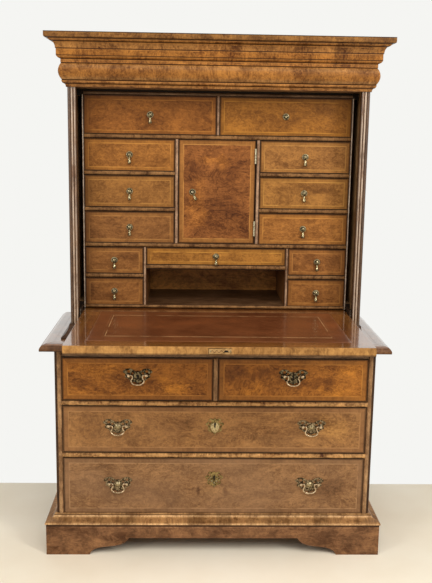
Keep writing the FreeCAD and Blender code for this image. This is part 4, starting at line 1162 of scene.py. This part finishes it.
for ending in ("top_left", "top_right", "middle_left", "middle_right", "bottom_left", "bottom_right"):
    node = "base_bail_" + ending
    low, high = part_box(node)
    x, y, z = (low.x + high.x) / 2, (low.y + high.y) / 2, high.z - BAIL_TOP
    bail = piece("bail_" + ending, node, "brass", (bright_brass,), swan_neck, x, y, z)
    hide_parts(node)
    short = ending.startswith("top")
    drawer = "base_drawer_" + (ending if short else ending.split("_")[0])
    piece("posts_" + ending, drawer, "brass", (plate_brass, bright_brass), post_caps, x, z)
    if short:
        piece("keyhole_" + ending, drawer, "brass", (dark_slot,), keyhole, x, z - PLATE_DROP + 0.0025, 0.0006)
    else:
        piece("boss_" + ending, drawer, "brass", (boss_brass,), boss, x, z - PLATE_DROP)
for name, z, lift in (("middle", MIDDLE_Z, 0.0032), ("bottom", BOTTOM_Z, 0.0012)):
    piece("keyhole_" + name, "base_drawer_" + name, "brass", (dark_slot,), keyhole, 0.0, z + KEY_RISE, lift)
piece("shield_middle", "base_drawer_middle", "brass", (shield_brass,), shield, 0.0, MIDDLE_Z + KEY_RISE)
piece("relief_bottom", "base_drawer_bottom", "brass", (boss_brass,), relief, 0.0, BOTTOM_Z)


# Drop pulls of the nest
DOOR_TILT = -0.42  # the door's drop hangs askew
LOST_Z = 1.344  # rose of the drawer that has lost its drop


def rose(bm, x, z):
    """Turned rose: rim, hollow and a raised middle round the stub."""
    turned(bm, (x, NEST_Y, z), FRONT, 32,
           ((0.0102, 0.0), (0.0104, 0.0008), (0.0102, 0.002), (0.0094, 0.0031), (0.0084, 0.0033),
            (0.0076, 0.0028), (0.0066, 0.0029), (0.0054, 0.0038), (0.004, 0.0047), (0.0031, 0.005),
            (0.0029, 0.0046)), slot=(0, 0, 0, 0, 0, 1, 1, 1, 0, 0))


def stub_end(bm, x, z):
    """Rounded nose on the stub, in front of the pin."""
    turned(bm, (x, NEST_Y, z), FRONT, 24,
           ((0.0028, 0.0108), (0.0029, 0.011), (0.0025, 0.0114), (0.0014, 0.0117), (0.0, 0.0118)))


def teardrop(bm, x, y, z, tilt):
    """Turned drop under a small yoke whose two cheeks hold the pin."""
    for side, x0, x1 in mirrored(0.0033, 0.0048):
        angles = [math.pi * k / 14 for k in range(15)]
        ring = [(y - 0.0021 * math.cos(a), z + 0.0021 * math.sin(a)) for a in angles]
        ring += [(y + 0.0015, z - 0.0058), (y - 0.0015, z - 0.0058)]
        loft(bm, [[(x + off, a, b) for a, b in ring] for off in (x0, x1)])
    turned(bm, (x - 0.0052, y, z), (1, 0, 0), 14, ((0.0006, 0.0), (0.0011, 0.0002), (0.001, 0.0004),
                                                  (0.001, 0.01), (0.0011, 0.0102), (0.0006, 0.0104)))
    turned(bm, (x, y, z), (0, 0, -1), 24,
           ((0.0006, 0.0046), (0.0046, 0.0047), (0.0052, 0.0053), (0.005, 0.0062), (0.004, 0.007),
            (0.0028, 0.0077), (0.0026, 0.0085), (0.0033, 0.0091), (0.0034, 0.0098), (0.0027, 0.0105),
            (0.0029, 0.0122), (0.0036, 0.015), (0.0046, 0.0185), (0.0053, 0.0216), (0.0055, 0.0238),
            (0.005, 0.0258), (0.0037, 0.0271), (0.0022, 0.0277), (0.0018, 0.0281), (0.0, 0.0285)))
    turn = Matrix.Translation((x, y, z)) @ Matrix.Rotation(tilt, 4, "Y") @ Matrix.Translation((-x, -y, -z))
    bmesh.ops.transform(bm, matrix=turn, verts=bm.verts)


for name in [*nest_fronts, "door"]:
    body = "door" if name == "door" else "drawer_" + name
    lost = name == "wide_right"
    low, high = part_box(body if lost else "drop_" + name)
    x, y, z = (low.x + high.x) / 2, (low.y + high.y) / 2, LOST_Z if lost else high.z - DROP_TOP
    piece("rose_" + name, body, "brass", (drop_brass, plate_brass), rose, x, z)
    if name != "door":
        piece("stub_end_" + name, body, "brass", (pull_brass,), stub_end, x, z)
    if not lost:
        tilt = DOOR_TILT if name == "door" else 0.0
        drop = piece("pull_" + name, "drop_" + name, "brass", (pull_brass,), teardrop, x, y, z, tilt)
        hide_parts("drop_" + name)

# Stage: a plain pale floor that ends where the photograph's wall stands, and a white room
mesh = bpy.data.meshes.new("floor")
mesh.from_pydata([(-6, -7, 0), (6, -7, 0), (6, 0.47, 0), (-6, 0.47, 0)], [], [(0, 1, 2, 3)])
s = Shade("floor_stone", srgb(238, 224, 198))
s.colour = s.ramp(s.noise(1.6, detail=5.0), (0.35, s.tone), (0.65, srgb(248, 238, 216)))
mesh.materials.append(s.surface(0.6, Specular_IOR_Level=0.25))
add_object("floor", mesh)


def lamp(name, place, target, size, energy, mirrored=True):
    data = bpy.data.lights.new(name, "AREA")
    data.shape = "RECTANGLE"
    data.size, data.size_y = size
    data.energy = energy
    obj = add_object(name, data)
    obj.location = place
    obj.rotation_euler = (Vector(target) - Vector(place)).to_track_quat("-Z", "Y").to_euler()
    obj.visible_glossy = mirrored


lamp("key", (2.2, -2.5, 2.4), (0, 0, 0.85), (0.55, 1.6), 52)
lamp("fill", (-2.4, -2.4, 2.25), (0, 0, 0.85), (0.8, 1.8), 32)
lamp("front", (0.3, -3.0, 2.7), (0, 0, 0.8), (2.4, 1.2), 25, False)
lamp("top", (0.0, -1.8, 3.3), (0, -0.9, 0), (3.0, 1.8), 62, False)

scene.world = bpy.data.worlds.new("room")
room = Nodes(scene.world)
rays = room.values("LightPath")
seen = room.math("MAXIMUM", rays["Is Camera Ray"], rays["Is Glossy Ray"])
seen = room.math("MAXIMUM", seen, rays["Is Transmission Ray"])
lit = room.value("Background", {"Color": (1.0, 1.0, 1.0, 1.0), "Strength": 0.34})
white = room.value("Background", {"Color": srgb(245, 245, 242), "Strength": 1.0})
room.make("OutputWorld", {"Surface": room.value("MixShader", {0: seen, 1: lit, 2: white})})

# Camera, as fitted to the photograph
camera = bpy.data.cameras.new("camera")
camera.sensor_fit = "VERTICAL"
camera.sensor_height = 36.0
camera.lens = 52.7
camera.clip_start = 0.05
pitch, yaw, roll = math.radians(10.5666), math.radians(1.7511), math.radians(0.9008)
forward = Vector((math.sin(yaw) * math.cos(pitch), math.cos(yaw) * math.cos(pitch), -math.sin(pitch)))
level_right = Vector((math.cos(yaw), -math.sin(yaw), 0))
level_up = level_right.cross(forward)
right = math.cos(roll) * level_right + math.sin(roll) * level_up
up = -math.sin(roll) * level_right + math.cos(roll) * level_up
eye = add_object("camera", camera)
eye.matrix_world = (Matrix.Translation((-0.0794, -2.5424, 1.2946))
                    @ Matrix((right, up, -forward)).transposed().to_4x4())
scene.camera = eye
scene.view_settings.view_transform = "Standard"
